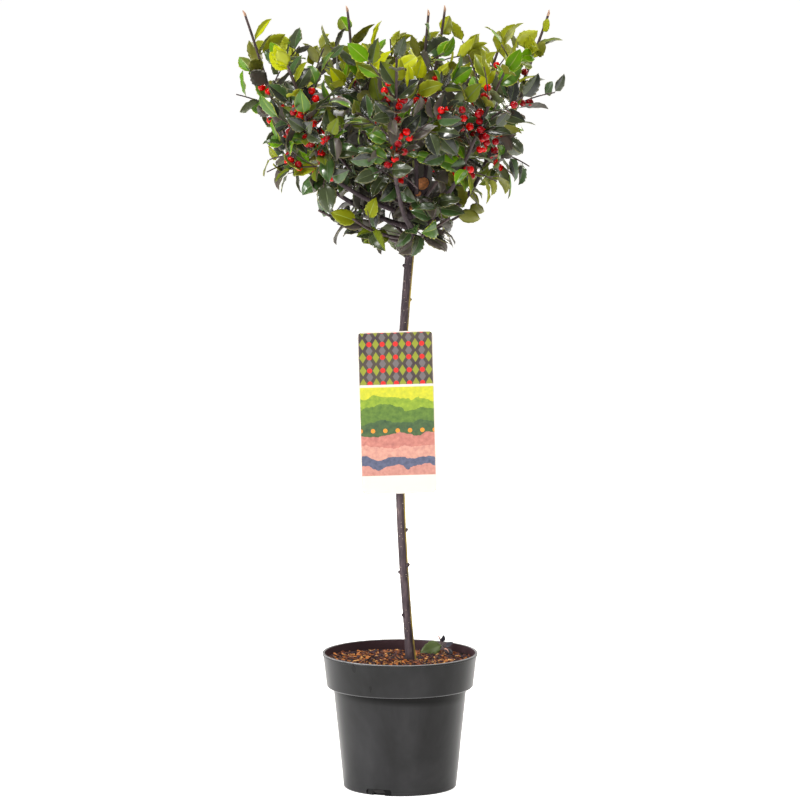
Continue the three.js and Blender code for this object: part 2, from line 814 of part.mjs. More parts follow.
// A card that hangs in front of the trunk, and the loop round the trunk that holds it.
function labelSolid() {
  const { width, height, cornerRadius } = LABEL;
  const card = new THREE.Shape();
  const corners = [[1, -1, -90], [1, 1, 0], [-1, 1, 90], [-1, -1, 180]];
  for (const [sideX, sideZ, fromDeg] of corners) {
    const x = sideX * (width / 2 - cornerRadius);
    const z = sideZ * (height / 2 - cornerRadius);
    card.absarc(x, z, cornerRadius, radians(fromDeg), radians(fromDeg + 90));
  }
  const plate = new THREE.ExtrudeGeometry(card, {
    depth: LABEL.thickness,
    bevelEnabled: false,
    curveSegments: LABEL.cornerSegments,
  });
  const loopCentre = trunkPoint(LABEL.loopZ);
  const loopInner = trunkRadius(LABEL.loopZ) + LABEL.loopRoom;
  const loopOuter = loopInner + LABEL.loopWall;
  // The card's back is sunk half a loop's thickness into the loop.
  const backY = loopCentre.y - loopOuter + LABEL.loopWall / 2;
  plate.rotateX(Math.PI / 2).rotateY(-radians(LABEL.leanDeg));
  plate.translate(LABEL.centreX, backY, LABEL.centreZ);
  const ring = new THREE.Shape().absarc(0, 0, loopOuter, 0, 2 * Math.PI);
  ring.holes.push(new THREE.Path().absarc(0, 0, loopInner, 0, 2 * Math.PI));
  const loop = new THREE.ExtrudeGeometry(ring, {
    depth: LABEL.loopHeight,
    bevelEnabled: false,
    curveSegments: LABEL.loopSegments,
  });
  loop.translate(loopCentre.x, loopCentre.y, LABEL.loopZ - LABEL.loopHeight / 2);
  return geometryToSolid(plate).add(geometryToSolid(loop));
}

// ---------------------------------------------------------------- the whole plant

const plant = new THREE.Group();
plant.name = "holly_standard";

function piece(name, solid, finish) {
  const mesh = new THREE.Mesh(solidToGeometry(solid), new THREE.MeshStandardMaterial(FINISHES[finish]));
  mesh.name = name;
  return mesh;
}

plant.add(piece("pot", pot(), "pot"));
plant.add(piece("potting_mix", pottingMix(), "mix"));
plant.add(piece("trunk", trunkSolid(0), "bark"));
plant.add(piece("hang_label", labelSolid(), "label"));

// What starts at the trunk stops short of it by the gap.
const aroundTrunk = trunkSolid(GAP);
const clearOfTrunk = (solid) => largestBody(solid.subtract(aroundTrunk));

const HEAD_LENGTH = 180; // of the trunk's upper end, which the twigs keep clear of
const trunkSamples = Array.from({ length: HEAD_LENGTH / TWIG.sampleStep }, (_, i) => {
  const z = TRUNK.tipZ - i * TWIG.sampleStep;
  return { point: trunkPoint(z), radius: trunkRadius(z) };
});

const boughs = RINGS.map((ring) =>
  ring.bough ? Array.from({ length: ring.count }, (_, index) => boughLimb(ring, index)) : [],
);
const limbSamples = [...trunkSamples, ...boughs.flat().flatMap(samplesOf)];

RINGS.forEach((ring, r) => {
  boughs[r].forEach((bough, index) => {
    const solid = clearOfTrunk(limbSolid(bough, BOUGH_SIDES));
    plant.add(piece(`${ring.name}_bough_${index + 1}`, solid, "bark"));
  });
});

RINGS.forEach((ring, r) => {
  for (let index = 0; index < ring.count; index++) {
    const bough = boughs[r][index];
    const grown = foliageSolid(ring, index, bough, limbSamples);
    const solid = bough ? largestBody(grown) : clearOfTrunk(grown);
    plant.add(piece(`${ring.name}_foliage_${index + 1}`, solid, "leaf"));
  }
});

export default plant;
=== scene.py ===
"""A holly grown as a standard, in a nursery pot: its looks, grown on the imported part.

Millimetres in the rule and the shapes, metres on the objects. +Z up, -Y is the front.
"""

import sys

import math
from functools import partialmethod
from types import SimpleNamespace as Named

import bpy
import numpy as np
from mathutils import Matrix, Vector


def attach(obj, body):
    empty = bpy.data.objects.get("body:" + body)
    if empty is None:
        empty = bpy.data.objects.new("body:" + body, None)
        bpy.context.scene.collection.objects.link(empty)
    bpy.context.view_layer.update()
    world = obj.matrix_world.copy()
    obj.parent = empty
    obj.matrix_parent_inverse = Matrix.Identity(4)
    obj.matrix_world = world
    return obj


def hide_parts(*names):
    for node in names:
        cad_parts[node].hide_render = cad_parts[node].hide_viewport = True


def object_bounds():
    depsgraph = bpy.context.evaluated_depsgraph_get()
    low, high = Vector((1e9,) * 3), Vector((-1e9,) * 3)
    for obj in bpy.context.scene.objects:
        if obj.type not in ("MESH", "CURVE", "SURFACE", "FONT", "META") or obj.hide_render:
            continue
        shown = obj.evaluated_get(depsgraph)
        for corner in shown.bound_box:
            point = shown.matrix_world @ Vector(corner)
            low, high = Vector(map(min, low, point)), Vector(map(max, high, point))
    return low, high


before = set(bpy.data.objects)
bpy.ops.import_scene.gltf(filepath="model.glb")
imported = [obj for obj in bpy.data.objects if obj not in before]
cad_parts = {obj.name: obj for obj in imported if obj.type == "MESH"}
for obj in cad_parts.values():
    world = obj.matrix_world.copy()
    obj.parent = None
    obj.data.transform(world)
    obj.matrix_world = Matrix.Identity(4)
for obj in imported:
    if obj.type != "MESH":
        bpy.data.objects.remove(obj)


def plain_box(bounds):
    return [[float(value) for value in corner] for corner in bounds]


CAD_BOX = plain_box(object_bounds())

MM = 0.001
UP = np.array([0.0, 0.0, 1.0])
GOLDEN_TURN = math.radians(137.5)

# ---------------------------------------------------------------- driving dimensions of the part

GAP = 0.3

POT = Named(
    height=166, rim_radius=95, collar_height=42, collar_foot_radius=89.5, body_top_radius=81.5,
    foot_radius=69, edge=1.5, wall=1.8, floor=3, lip_height=3, lip_depth=1.2, segments=180,
    crease_deg=28,
)
COLLAR_Z = POT.height - POT.collar_height
DRAIN = Named(
    count=3, first_angle=247.5, width=33, height=8, hole_width=16, hole_height=7, recess=1.3,
    corner=3, corner_share=0.4, past=4, steps=24,
)
MIX = Named(
    edge_z=152, edge_radius=92.4, shoulder_radius=62, shoulder_z=154.5, crest_radius=26,
    crest_z=156, bank=5, bank_from=50, bank_over=40, lumps=0.9, lump_sink=0.8, lump_room=0.5,
    rings=50, segments=120,
)

TRUNK = Named(
    foot_z=MIX.crest_z + GAP, head_z=700, tip_z=747, foot_x=13.3, head_x=16, bow_x=-15, bow_y=3,
    head_lean=0.27, radius=5.5, flare=1.7, flare_height=15, burr=4, burr_height=27,
    head_length=180,
)
# The window is what stays bare before the cut: half its width, half its height, and how far it
# falls for each millimetre towards the camera.
SAW_CUT = Named(
    z=741, normal=np.array([0.05, -0.66, 0.75]), window=(11, 17, 0.13), steps=12, pace=0.8
)

LABEL = Named(
    width=92, height=199, thickness=0.9, corner_radius=7, centre_x=-3.4, centre_z=462,
    lean_deg=1.6, loop_z=536, loop_height=9, loop_room=0.6, loop_wall=1.1,
)

CROWN = Named(
    x=-4, y=0,
    profile=[
        (645, 50), (662, 78), (700, 116), (720, 150), (780, 176), (860, 206), (895, 216),
        (938, 186), (960, 186),
    ],
    heart=[(600, 112), (736, 112), (752, 92), (860, 88), (960, 112)],
    heart_gap=2, lowest_top=912, highest_top=943,
)

# Each shoot: the share of the leader's length where it leaves, and the radius, the distance aside
# from the middle of its sector and the height of its tip.
RINGS = [
    Named(
        name="outer", count=8, seeds=[118, 17, 46, 46, 107, 63, 17, 23], first_angle=0,
        floor=600, ceiling=960,
        bough=Named(
            from_z=687, stagger=15, elbow=(60, 14), tip=(100, 750), base_radius=3.3,
            tip_radius=2.4, pieces=4,
        ),
        leader=Named(from_z=0, stagger=0, bend=(142, 826), tip=(183, 946), pruned_every=4),
        shoots=[
            (0.06, 150, 24, 754), (0.1, 154, -30, 770), (0.2, 130, 50, 828),
            (0.28, 134, -50, 846), (0.38, 188, 12, 856), (0.48, 120, 4, 904),
            (0.58, 170, -34, 900),
        ],
    ),
    Named(
        name="inner", count=5, seeds=[52, 28, 76, 129, 68], first_angle=20, floor=795, ceiling=960,
        bough=Named(
            from_z=717, stagger=0, elbow=(24, 36), tip=(38, 798), base_radius=2.7,
            tip_radius=2.2, pieces=3,
        ),
        leader=Named(from_z=0, stagger=0, bend=(50, 860), tip=(62, 950), pruned_every=2),
        shoots=[
            (0.16, 80, 10, 834), (0.26, 64, 28, 856), (0.34, 66, -28, 870),
            (0.44, 26, 2, 908), (0.52, 86, 4, 900),
        ],
    ),
    Named(
        name="middle", count=5, seeds=[19, 112, 56, 15, 85], first_angle=56, floor=731, ceiling=795,
        bough=None,
        leader=Named(from_z=710, stagger=0, bend=(50, 742), tip=(80, 784), pruned_every=0),
        shoots=[(0.36, 56, 30, 766), (0.44, 58, -30, 760), (0.54, 84, 16, 756)],
    ),
    Named(
        name="low", count=5, seeds=[33, 40, 114, 89, 60], first_angle=22, floor=600, ceiling=731,
        bough=None,
        leader=Named(from_z=666, stagger=7, bend=(48, 682), tip=(98, 706), pruned_every=0),
        shoots=[(0.26, 56, 32, 694), (0.32, 54, -32, 688), (0.46, 84, -16, 722)],
    ),
]

TWIG = Named(
    leader_radius=2.4, leader_tip_radius=1.5, leader_pieces=4, leader_reach=0.6, shoot_radius=1.3,
    shoot_tip_radius=0.8, shoot_pieces=2, shoot_foot=0.48, sample_step=3, scatter=7, crook=0.34,
    reaches=[1, 0.86, 0.72, 0.58], top_room=8,
)
CLEAR = Named(
    own_bough=9, own_trunk=14, fork=12, twig=1, twig_wall=1, leaf_root=4, leaf_stem=9,
    leaf_twig=0.5, leaf_limb=0.8, leaf_berry=0.3, leaf_wall=0.6, leaf_leaf=1.8, berry_wall=1,
    berry_limb=0.6, berry_twig=0.4, berry_berry=0.2,
)
LEAF = Named(
    shortest=31, longest=42, longest_at_tip=38, half_width=0.34, widest_at=0.44, spacing=18,
    first_node=14, turn=120, first_turn=60, opening=52, tip_opening=24, at_tip=2, tip_inset=1.5,
    end_room=4, bare_tip=16, terminal_room=26, face_apex=0.6, face_up=0.4, face_out=0.8, tries=6,
    tries_in_round=3, round_turn=40, shrink=0.05, opening_spread=10, spacing_range=(0.88, 1.12),
)
CHECKED_AT = np.array([0.12, 0.28, 0.44, 0.58, 0.72, 0.86, 1])
DROOP = Named(from_z=665, height=200, low=0.95, high=-0.12)
BERRY = Named(
    radius=4.5, seat=4.1, spacing=4.6, turn=120, fewest=2, most=4, nearest=0.12, furthest=0.42,
    from_z=745, to_z=885, share=0.62,
)

# The finer growth that only the looks have: side twigs with leaves and berries of their own. An
# inset is how far inside the crown's outline a twig ends, and outside it where less than nothing.
# The bands thin_over and lift_over are given by their foot and their height.
FINE = Named(
    first_node=13, spacing=19, spacing_range=(0.8, 1.2), end_room=8, shortest=22, longest=50,
    taper=0.35, opening=50, spread=14, rise=0.22, foot=0.8, radius=0.85, tip_radius=0.5, pieces=3,
    tries=4, top_room=8, end_inset=6, twig_limb=0.6, twig_berry=0.3, twig_lift=0.8,
    twig_droop=0.5,
    skirt=[(664, 40), (676, 66), (700, 86), (712, 104), (724, 132), (740, 165), (760, 300),
           (1000, 300)],
    leaf_first=9, leaf_spacing=13, leaf_end=4, leaf_shortest=28, leaf_longest=38, leaf_tries=3,
    leaf_turn=2.1, leaf_leaf=0.9, leaf_limb=0.5, leaf_twig=0.2, at_tip=3, tip_step=8,
    lowest_top=835, highest_top=915, least_inset=-6, most_inset=44, thin=3.2,
    thin_over=(835, 50), lift=0.5, lift_over=(835, 60), hang=0.7, box_room=0.02,
)
FINE_BERRY = Named(
    share=0.7, fewest=3, most=5, from_z=758, to_z=884, foot=0.1, first=4, spacing=3.2,
    furthest=0.9, seat=1.2, side_at=0.2, least_outward=-0.1, turns=12, turn_step=4,
)

# ---------------------------------------------------------------- seeded random numbers

WORD = 0xFFFFFFFF


def seeded_random(seed):
    """mulberry32, as in the part's source: the same seed gives the same numbers."""
    state = seed & WORD

    def draw():
        nonlocal state
        state = (state + 0x6D2B79F5) & WORD
        mixed = ((state ^ (state >> 15)) * (state | 1)) & WORD
        mixed ^= (mixed + (((mixed ^ (mixed >> 7)) * (mixed | 61)) & WORD)) & WORD
        return ((mixed ^ (mixed >> 14)) & WORD) / 2**32

    return draw


def between(draw, low, high):
    return low + (high - low) * draw()


def around(draw, spread):
    return between(draw, -spread, spread)


def whole(draw, fewest, most):
    """A whole number from the fewest to the most."""
    return fewest + math.floor(draw() * (most - fewest + 1))


def pick(draw, names):
    return names[whole(draw, 0, len(names) - 1)]


def unit(vector):
    return vector / np.linalg.norm(vector)


def turns_of(count):
    """The angles of equal steps round a circle."""
    return np.arange(count) * 2 * np.pi / count


# ---------------------------------------------------------------- limbs


def turned_about(vector, axis, angle):
    """A vector turned about a unit axis."""
    cosine = math.cos(angle)
    return (
        vector * cosine
        + np.cross(axis, vector) * math.sin(angle)
        + axis * np.dot(axis, vector) * (1 - cosine)
    )


class Bezier:
    """A Bezier curve, measured along its length in two hundred steps."""

    STEPS = 200
    REACH = 1e-4  # the share of the curve that a tangent spans to each side

    def __init__(self, *corners):
        self.corners = [np.asarray(corner, float) for corner in corners]
        self.shares = np.arange(self.STEPS + 1) / self.STEPS
        steps = np.linalg.norm(np.diff(self.points(self.shares), axis=0), axis=1)
        self.lengths = np.concatenate([[0.0], np.cumsum(steps)])

    def points(self, t):
        t = np.asarray(t, float)[..., None]
        row = self.corners
        while len(row) > 1:
            row = [a * (1 - t) + b * t for a, b in zip(row, row[1:])]
        return row[0]

    def at_length(self, share):
        return np.interp(np.asarray(share) * self.lengths[-1], self.lengths, self.shares)

    def tangent(self, t):
        return unit(self.points(min(1, t + self.REACH)) - self.points(max(0, t - self.REACH)))


def frames_along(line, pieces):
    """Tangents at the pieces' ends, with normals and binormals that turn as little as they can."""
    tangents = [line.tangent(float(line.at_length(i / pieces))) for i in range(pieces + 1)]
    size = np.abs(tangents[0])
    least = max(k for k in range(3) if size[k] == size.min())
    across = unit(np.cross(tangents[0], np.eye(3)[least]))
    normals = [np.cross(tangents[0], across)]
    for before, tangent in zip(tangents, tangents[1:]):
        axis = np.cross(before, tangent)
        normal = normals[-1]
        if np.linalg.norm(axis) > sys.float_info.epsilon:
            angle = math.acos(max(-1.0, min(1.0, float(np.dot(before, tangent)))))
            normal = turned_about(normal, unit(axis), angle)
        normals.append(normal)
    binormals = [np.cross(tangent, normal) for tangent, normal in zip(tangents, normals)]
    return tangents, normals, binormals


class Limb:
    """A limb in straight pieces of one length along a smooth curve, with a radius at each end."""

    def __init__(self, line, pieces, base_radius, tip_radius, pruned=False):
        self.line, self.pieces, self.pruned = line, pieces, pruned
        self.base_radius, self.tip_radius = base_radius, tip_radius
        self.tangents, self.normals, self.binormals = frames_along(line, pieces)
        self.corners = line.points(line.at_length(np.arange(pieces + 1) / pieces))
        shares = np.arange(Bezier.STEPS + 1) / Bezier.STEPS
        self.length = np.linalg.norm(np.diff(self.points(shares), axis=0), axis=1).sum()
        steps = math.ceil(self.length / TWIG.sample_step)
        shares = np.arange(steps + 1) / steps
        self.samples, self.sample_radii = self.points(shares), self.radius(shares)

    def points(self, t):
        t = np.asarray(t, float)
        piece = np.minimum(self.pieces - 1, np.floor(t * self.pieces).astype(int))
        part = (t * self.pieces - piece)[..., None]
        return self.corners[piece] * (1 - part) + self.corners[piece + 1] * part

    def radius(self, t):
        return self.base_radius + (self.tip_radius - self.base_radius) * np.asarray(t)

    def tangent(self, t):
        return unit(self.points(min(1, t + Bezier.REACH)) - self.points(max(0, t - Bezier.REACH)))

    def round(self, t, turn):
        """The direction of the limb at t, and the direction away from it one way round."""
        piece = min(self.pieces - 1, math.floor(t * self.pieces))
        away = self.normals[piece] * math.sin(turn) - self.binormals[piece] * math.cos(turn)
        return self.tangent(t), away


def trunk_point(z):
    z = np.asarray(z, float)
    t = np.minimum(1, (z - TRUNK.foot_z) / (TRUNK.head_z - TRUNK.foot_z))
    bow = np.sin(np.pi * t)
    lean = np.maximum(0, z - TRUNK.head_z) * TRUNK.head_lean
    x = TRUNK.foot_x + (TRUNK.head_x - TRUNK.foot_x) * t + TRUNK.bow_x * bow + lean
    return np.stack([x, TRUNK.bow_y * bow, z], axis=-1)


def trunk_radius(z):
    z = np.asarray(z, float)
    flare = TRUNK.flare * np.exp((TRUNK.foot_z - z) / TRUNK.flare_height)
    burr_z = TRUNK.tip_z - TRUNK.burr_height / 2
    swell = np.exp(-(((z - burr_z) / TRUNK.burr_height) ** 2))
    return TRUNK.radius + flare + TRUNK.burr * swell


def ring_point(azimuth, radius, aside, z):
    cosine, sine = math.cos(azimuth), math.sin(azimuth)
    x = CROWN.x + radius * cosine - aside * sine
    return np.array([x, CROWN.y + radius * sine + aside * cosine, z])


def azimuth_of(ring, index):
    return math.radians(ring.first_angle + (360 / ring.count) * index)


def bough_limb(ring, index):
    bough = ring.bough
    start = trunk_point(bough.from_z + bough.stagger * (index % 2))
    end = ring_point(azimuth_of(ring, index), bough.tip[0], 0, bough.tip[1])
    outward = (end - start) * (1, 1, 0)
    elbow = start + unit(outward) * bough.elbow[0] + UP * bough.elbow[1]
    return Limb(Bezier(start, elbow, end), bough.pieces, bough.base_radius, bough.tip_radius)


# ---------------------------------------------------------------- the space of each mass


def radius_at_height(profile, z):
    levels, radii = np.array(profile, float).T
    within = (z > levels[0]) & (z <= levels[-1])
    return np.where(within, np.interp(z, levels, radii), 0.0)


def in_crown(points, top_z, inset):
    """Whether all points lie in the crown's outline, by an inset that may be less than nothing."""
    points = np.atleast_2d(points)
    z = points[:, 2]
    radius = np.hypot(points[:, 0] - CROWN.x, points[:, 1] - CROWN.y)
    low, high = np.array(CAD_BOX) / MM
    room = FINE.box_room * (high - low)
    return bool(
        ((points > low - room) & (points < high + room)).all()
        and (z < top_z).all()
        and (radius < radius_at_height(FINE.skirt, z)).all()
        and (radius < radius_at_height(CROWN.profile, z) - inset).all()
    )


def in_space(points, space, margin):
    """Whether all points lie in a mass's own space, by a margin."""
    points = np.atleast_2d(points)
    ring, azimuth = space.ring, space.azimuth
    x, y, z = points[:, 0] - CROWN.x, points[:, 1] - CROWN.y, points[:, 2]
    radius = np.hypot(x, y)
    heart = radius_at_height(CROWN.heart, z)
    aside = np.abs(y * math.cos(azimuth) - x * math.sin(azimuth))
    along = x * math.cos(azimuth) + y * math.sin(azimuth)
    half = math.pi / ring.count
    if ring.name == "outer":
        side = radius > heart + margin + CROWN.heart_gap
    else:
        side = radius < heart - margin
    return bool((
        side
        & (z < space.top_z)
        & (radius < radius_at_height(CROWN.profile, z))
        & (z > ring.floor + margin)
        & (z < ring.ceiling - margin)
        & (along * math.sin(half) - aside * math.cos(half) > margin)
    ).all())


# ---------------------------------------------------------------- leaves


def blade_width(share):
    widest = LEAF.widest_at
    return np.where(share < widest, share / widest, (1 - share) / (1 - widest))


HANDS = np.array([-1, 0, 1])
SAMPLE_ALONG = np.repeat(CHECKED_AT, 3)
SAMPLE_ACROSS = np.tile(HANDS, len(CHECKED_AT)) * LEAF.half_width * blade_width(SAMPLE_ALONG)


class Leaf:
    """A leaf's place: its root, its own direction, its side, its upper face and its length."""

    fine = False  # whether it is one of the finer growth

    def __init__(self, root, axis, facing, length):
        self.root, self.axis, self.length = root, axis, length
        self.normal = unit(facing - axis * np.dot(facing, axis))
        self.side = np.cross(axis, self.normal)
        along, across = SAMPLE_ALONG[:, None] * length, SAMPLE_ACROSS[:, None] * length
        self.samples = root + along * axis + across * self.side


class LeafStore:
    """The leaves so far, as arrays that a new leaf is measured against."""

    ROOM = 4096  # more than all the leaves

    def __init__(self):
        self.leaves = []
        self.frames = np.zeros((self.ROOM, 4, 3))
        self.lengths = np.zeros(self.ROOM)
        self.samples = np.zeros((self.ROOM, len(SAMPLE_ALONG), 3))

    def add(self, leaf):
        count = len(self.leaves)
        self.frames[count] = leaf.root, leaf.axis, leaf.side, leaf.normal
        self.lengths[count] = leaf.length
        self.samples[count] = leaf.samples
        self.leaves.append(leaf)

    def meets(self, leaf, clearance):
        count = len(self.leaves)
        reach = leaf.length + self.lengths[:count] + 2 * clearance
        near = np.linalg.norm(self.frames[:count, 0] - leaf.root, axis=1) < reach
        if not near.any():
            return False
        others = self.samples[:count][near].reshape(-1, 3)
        if near_leaf(others, leaf, clearance):
            return True
        root, axis, side, normal = self.frames[:count][near].transpose(1, 0, 2)
        lengths = self.lengths[:count][near][:, None]
        offset = leaf.samples[None] - root[:, None]
        along, across, off = (
            np.einsum("nsk,nk->ns", offset, way) for way in (axis, side, normal)
        )
        return in_blade(along, across, off, lengths, clearance)


def in_blade(along, across, off, length, clearance):
    """Whether any place, given along, across and off a blade, lies within the clearance of it."""
    half = LEAF.half_width * length * blade_width(np.clip(along / length, 0, 1))
    return bool((
        (np.abs(off) < clearance)
        & (along > -clearance)
        & (along < length + clearance)
        & (np.abs(across) < half + clearance)
    ).any())


def near_leaf(points, leaf, clearance):
    """Whether any point lies within the clearance of a leaf's blade."""
    offset = points - leaf.root
    return in_blade(
        offset @ leaf.axis, offset @ leaf.side, offset @ leaf.normal, leaf.length, clearance
    )


def droop_at(z):
    height = min(1, max(0, (z - DROOP.from_z) / DROOP.height))
    return DROOP.low + (DROOP.high - DROOP.low) * height


def leaf_at(twig, t, turn, opening, length):
    stem, away = twig.round(t, turn)
    root = twig.points(t)
    axis = stem * math.cos(opening) + away * math.sin(opening) - UP * droop_at(root[2])
    outward = unit((root - (CROWN.x, CROWN.y, 0)) * (1, 1, 0))
    facing = stem * LEAF.face_apex + UP * LEAF.face_up + outward * LEAF.face_out
    return Leaf(root, unit(axis), facing, length)


# ---------------------------------------------------------------- growing a mass


def clear_of(points, radii, other_points, other_radii, margin):
    """Whether balls at the points keep the margin from balls at the other points."""
    gaps = np.linalg.norm(points[:, None] - other_points[None], axis=2)
    return bool((gaps > np.reshape(radii, (-1, 1)) + other_radii + margin).all())


def samples_of(limbs):
    """The sample points of some limbs, and their radii."""
    return (
        np.concatenate([limb.samples for limb in limbs]),
        np.concatenate([limb.sample_radii for limb in limbs]),
    )


def berries_of(mass):
    return np.reshape(mass.berries, (-1, 3))


def leader_limb(space, index, bough):
    leader = space.ring.leader
    tip_radius, tip_z = leader.tip
    corner = ring_point(space.azimuth, leader.bend[0], 0, leader.bend[1])
    if not space.pruned:
        tip_z = min(tip_z, space.top_z - LEAF.terminal_room)
    end = ring_point(space.azimuth, tip_radius, 0, tip_z)
    if bough:
        way = bough.tangents[-1]
        start = bough.points(1) + way * GAP
    else:
        start = trunk_point(leader.from_z + leader.stagger * (index % 2))
        way = unit(corner - start)
    elbow = start + way * np.linalg.norm(start - corner) * TWIG.leader_reach
    radii = TWIG.leader_radius, TWIG.leader_tip_radius
    return Limb(Bezier(start, elbow, corner, end), TWIG.leader_pieces, *radii, space.pruned)


def grow_twigs(mass, leader):
    """The leader and its shoots, each shortened until it is clear of what has grown."""
    space = mass.space
    twigs = [leader]
    for share, *aim in space.ring.shoots:
        start, way = leader.points(share), leader.tangent(share)
        place = [value + around(mass.draw, TWIG.scatter) for value in aim]
        tip = ring_point(space.azimuth, *place)
        foot = min(TWIG.shoot_radius, float(leader.radius(share)) * TWIG.shoot_foot)
        points, radii = samples_of(twigs)
        beyond = np.linalg.norm(points - start, axis=1) > CLEAR.fork
        for reach in TWIG.reaches:
            end = start + (tip - start) * reach
            elbow = start + way * np.linalg.norm(end - start) * TWIG.crook
            shoot = Limb(Bezier(start, elbow, end), TWIG.shoot_pieces, foot, TWIG.shoot_tip_radius)
            samples, own = shoot.samples, shoot.sample_radii
            free = np.linalg.norm(samples - start, axis=1) > CLEAR.fork
            if (
                (samples[:, 2] < space.top_z - TWIG.top_room).all()
                and in_space(samples, space, TWIG.shoot_radius + CLEAR.twig_wall)
                and clear_of(samples, own, *mass.obstacles, CLEAR.twig)
                and clear_of(samples[free], own[free], points[beyond], radii[beyond], CLEAR.twig)
            ):
                twigs.append(shoot)
                break
    return twigs


def berry_fits(place, mass):
    """Whether a berry is clear of the limbs and of the berries so far."""
    point, radius = place[None], BERRY.radius
    return clear_of(point, radius, *mass.obstacles, CLEAR.berry_limb) and clear_of(
        point, radius, berries_of(mass), radius, CLEAR.berry_berry
    )


def bear(mass, twig, t, place):
    mass.berries.append(place)
    mass.stalks.append(twig.points(t))


def grow_berries(mass):
    draw, twigs = mass.draw, mass.twigs
    for twig in twigs:
        start = between(draw, BERRY.nearest, BERRY.furthest)
        count = whole(draw, BERRY.fewest, BERRY.most)
        first_turn = between(draw, 0, 2 * math.pi)
        bears = draw() < BERRY.share
        if not bears or not BERRY.from_z <= twig.points(start)[2] <= BERRY.to_z:
            continue
        others = samples_of([other for other in twigs if other is not twig])
        for i in range(count):
            t = start + i * BERRY.spacing / twig.length
            _, away = twig.round(t, first_turn + math.radians(BERRY.turn) * i)
            place = twig.points(t) + away * BERRY.seat
            if (
                berry_fits(place, mass)
                and clear_of(place[None], BERRY.radius, *others, CLEAR.berry_twig)
                and in_space(place, mass.space, BERRY.radius + CLEAR.berry_wall)
            ):
                bear(mass, twig, t, place)


def leaf_fits(leaf, twig, mass):
    points, radii = mass.obstacles
    if (
        not in_space(leaf.samples, mass.space, CLEAR.leaf_wall)
        or near_leaf(points, leaf, radii + CLEAR.leaf_limb)
        or near_leaf(berries_of(mass), leaf, BERRY.radius + CLEAR.leaf_berry)
    ):
        return False
    for other in mass.twigs:
        least = CLEAR.leaf_stem if other is twig else CLEAR.leaf_root
        far = np.linalg.norm(other.samples - leaf.root, axis=1) > least
        if near_leaf(other.samples[far], leaf, other.sample_radii[far] + CLEAR.leaf_twig):
            return False
    return not mass.leaves.meets(leaf, CLEAR.leaf_leaf)


def grow_leaves(mass):
    draw = mass.draw

    def try_leaf(spray, twig, t, turn, opening, length):
        for attempt in range(LEAF.tries):
            ring = attempt // LEAF.tries_in_round
            spin = math.radians(LEAF.turn * attempt + LEAF.round_turn * ring)
            size = length * (1 - LEAF.shrink * attempt)
            leaf = leaf_at(twig, t, turn + spin, opening, size)
            if leaf_fits(leaf, twig, mass):
                leaf.spray = spray
                mass.leaves.add(leaf)
                return

    for spray, twig in enumerate(mass.twigs):
        end = twig.length - (LEAF.bare_tip if twig.pruned else LEAF.end_room)
        turn = math.radians(LEAF.first_turn + LEAF.turn * math.floor(draw() * 3))
        at = LEAF.first_node
        while at < end:
            size = between(draw, LEAF.shortest, LEAF.longest)
            opening = math.radians(LEAF.opening + around(draw, LEAF.opening_spread))
            try_leaf(spray, twig, at / twig.length, turn, opening, size)
            turn += math.radians(LEAF.turn)
            at += LEAF.spacing * between(draw, *LEAF.spacing_range)
        if twig.pruned:
            continue
        for i in range(LEAF.at_tip):
            size = between(draw, LEAF.shortest, LEAF.longest_at_tip)
            t = 1 - LEAF.tip_inset / twig.length
            try_leaf(spray, twig, t, turn + math.pi * i, math.radians(LEAF.tip_opening), size)


def grow_mass(ring, index, bough, limb_samples):
    draw = seeded_random(ring.seeds[index])
    every = ring.leader.pruned_every
    pruned = every > 0 and index % every == 0
    top_z = CROWN.highest_top if pruned else between(draw, CROWN.lowest_top, CROWN.highest_top)
    space = Named(ring=ring, azimuth=azimuth_of(ring, index), top_z=top_z, pruned=pruned)
    leader = leader_limb(space, index, bough)
    points, radii = limb_samples
    near = CLEAR.own_bough if bough else CLEAR.own_trunk
    far = np.linalg.norm(points - leader.points(0), axis=1) > near
    mass = Named(
        name=f"{ring.name}_foliage_{index + 1}", ring=ring, space=space, draw=draw,
        obstacles=(points[far], radii[far]), berries=[], stalks=[], leaves=LeafStore(),
        fine_twigs=[], fine_leaves=[],
    )
    mass.twigs = grow_twigs(mass, leader)
    grow_berries(mass)
    grow_leaves(mass)
    return mass


# ---------------------------------------------------------------- the finer growth


def grow_fine_twigs(mass):
    """Side twigs on the leader and the shoots, some of which bear berries."""
    draw = mass.draw
    for parent in mass.twigs:
        turn = between(draw, 0, 2 * math.pi)
        at = FINE.first_node
        while at < parent.length - FINE.end_room:
            t = at / parent.length
            thinned = 1 + FINE.thin * share_above(parent.points(t)[2], FINE.thin_over)
            at += FINE.spacing * between(draw, *FINE.spacing_range) * thinned
            turn += GOLDEN_TURN
            size = between(draw, FINE.shortest, FINE.longest) * (1 - FINE.taper * t)
            opening = math.radians(FINE.opening + around(draw, FINE.spread))
            bears = draw() < FINE_BERRY.share
            top = between(draw, FINE.lowest_top, FINE.highest_top)
            inset = between(draw, FINE.least_inset, FINE.most_inset)
            for attempt in range(FINE.tries):
                twig = side_twig(parent, t, turn + attempt * math.pi / 2, opening, size)
                twig.top, twig.inset, twig.bears = top, inset, False
                if twig_fits(twig, mass):
                    mass.fine_twigs.append(twig)
                    if bears:
                        fine_berries(twig, mass, draw)
                    break


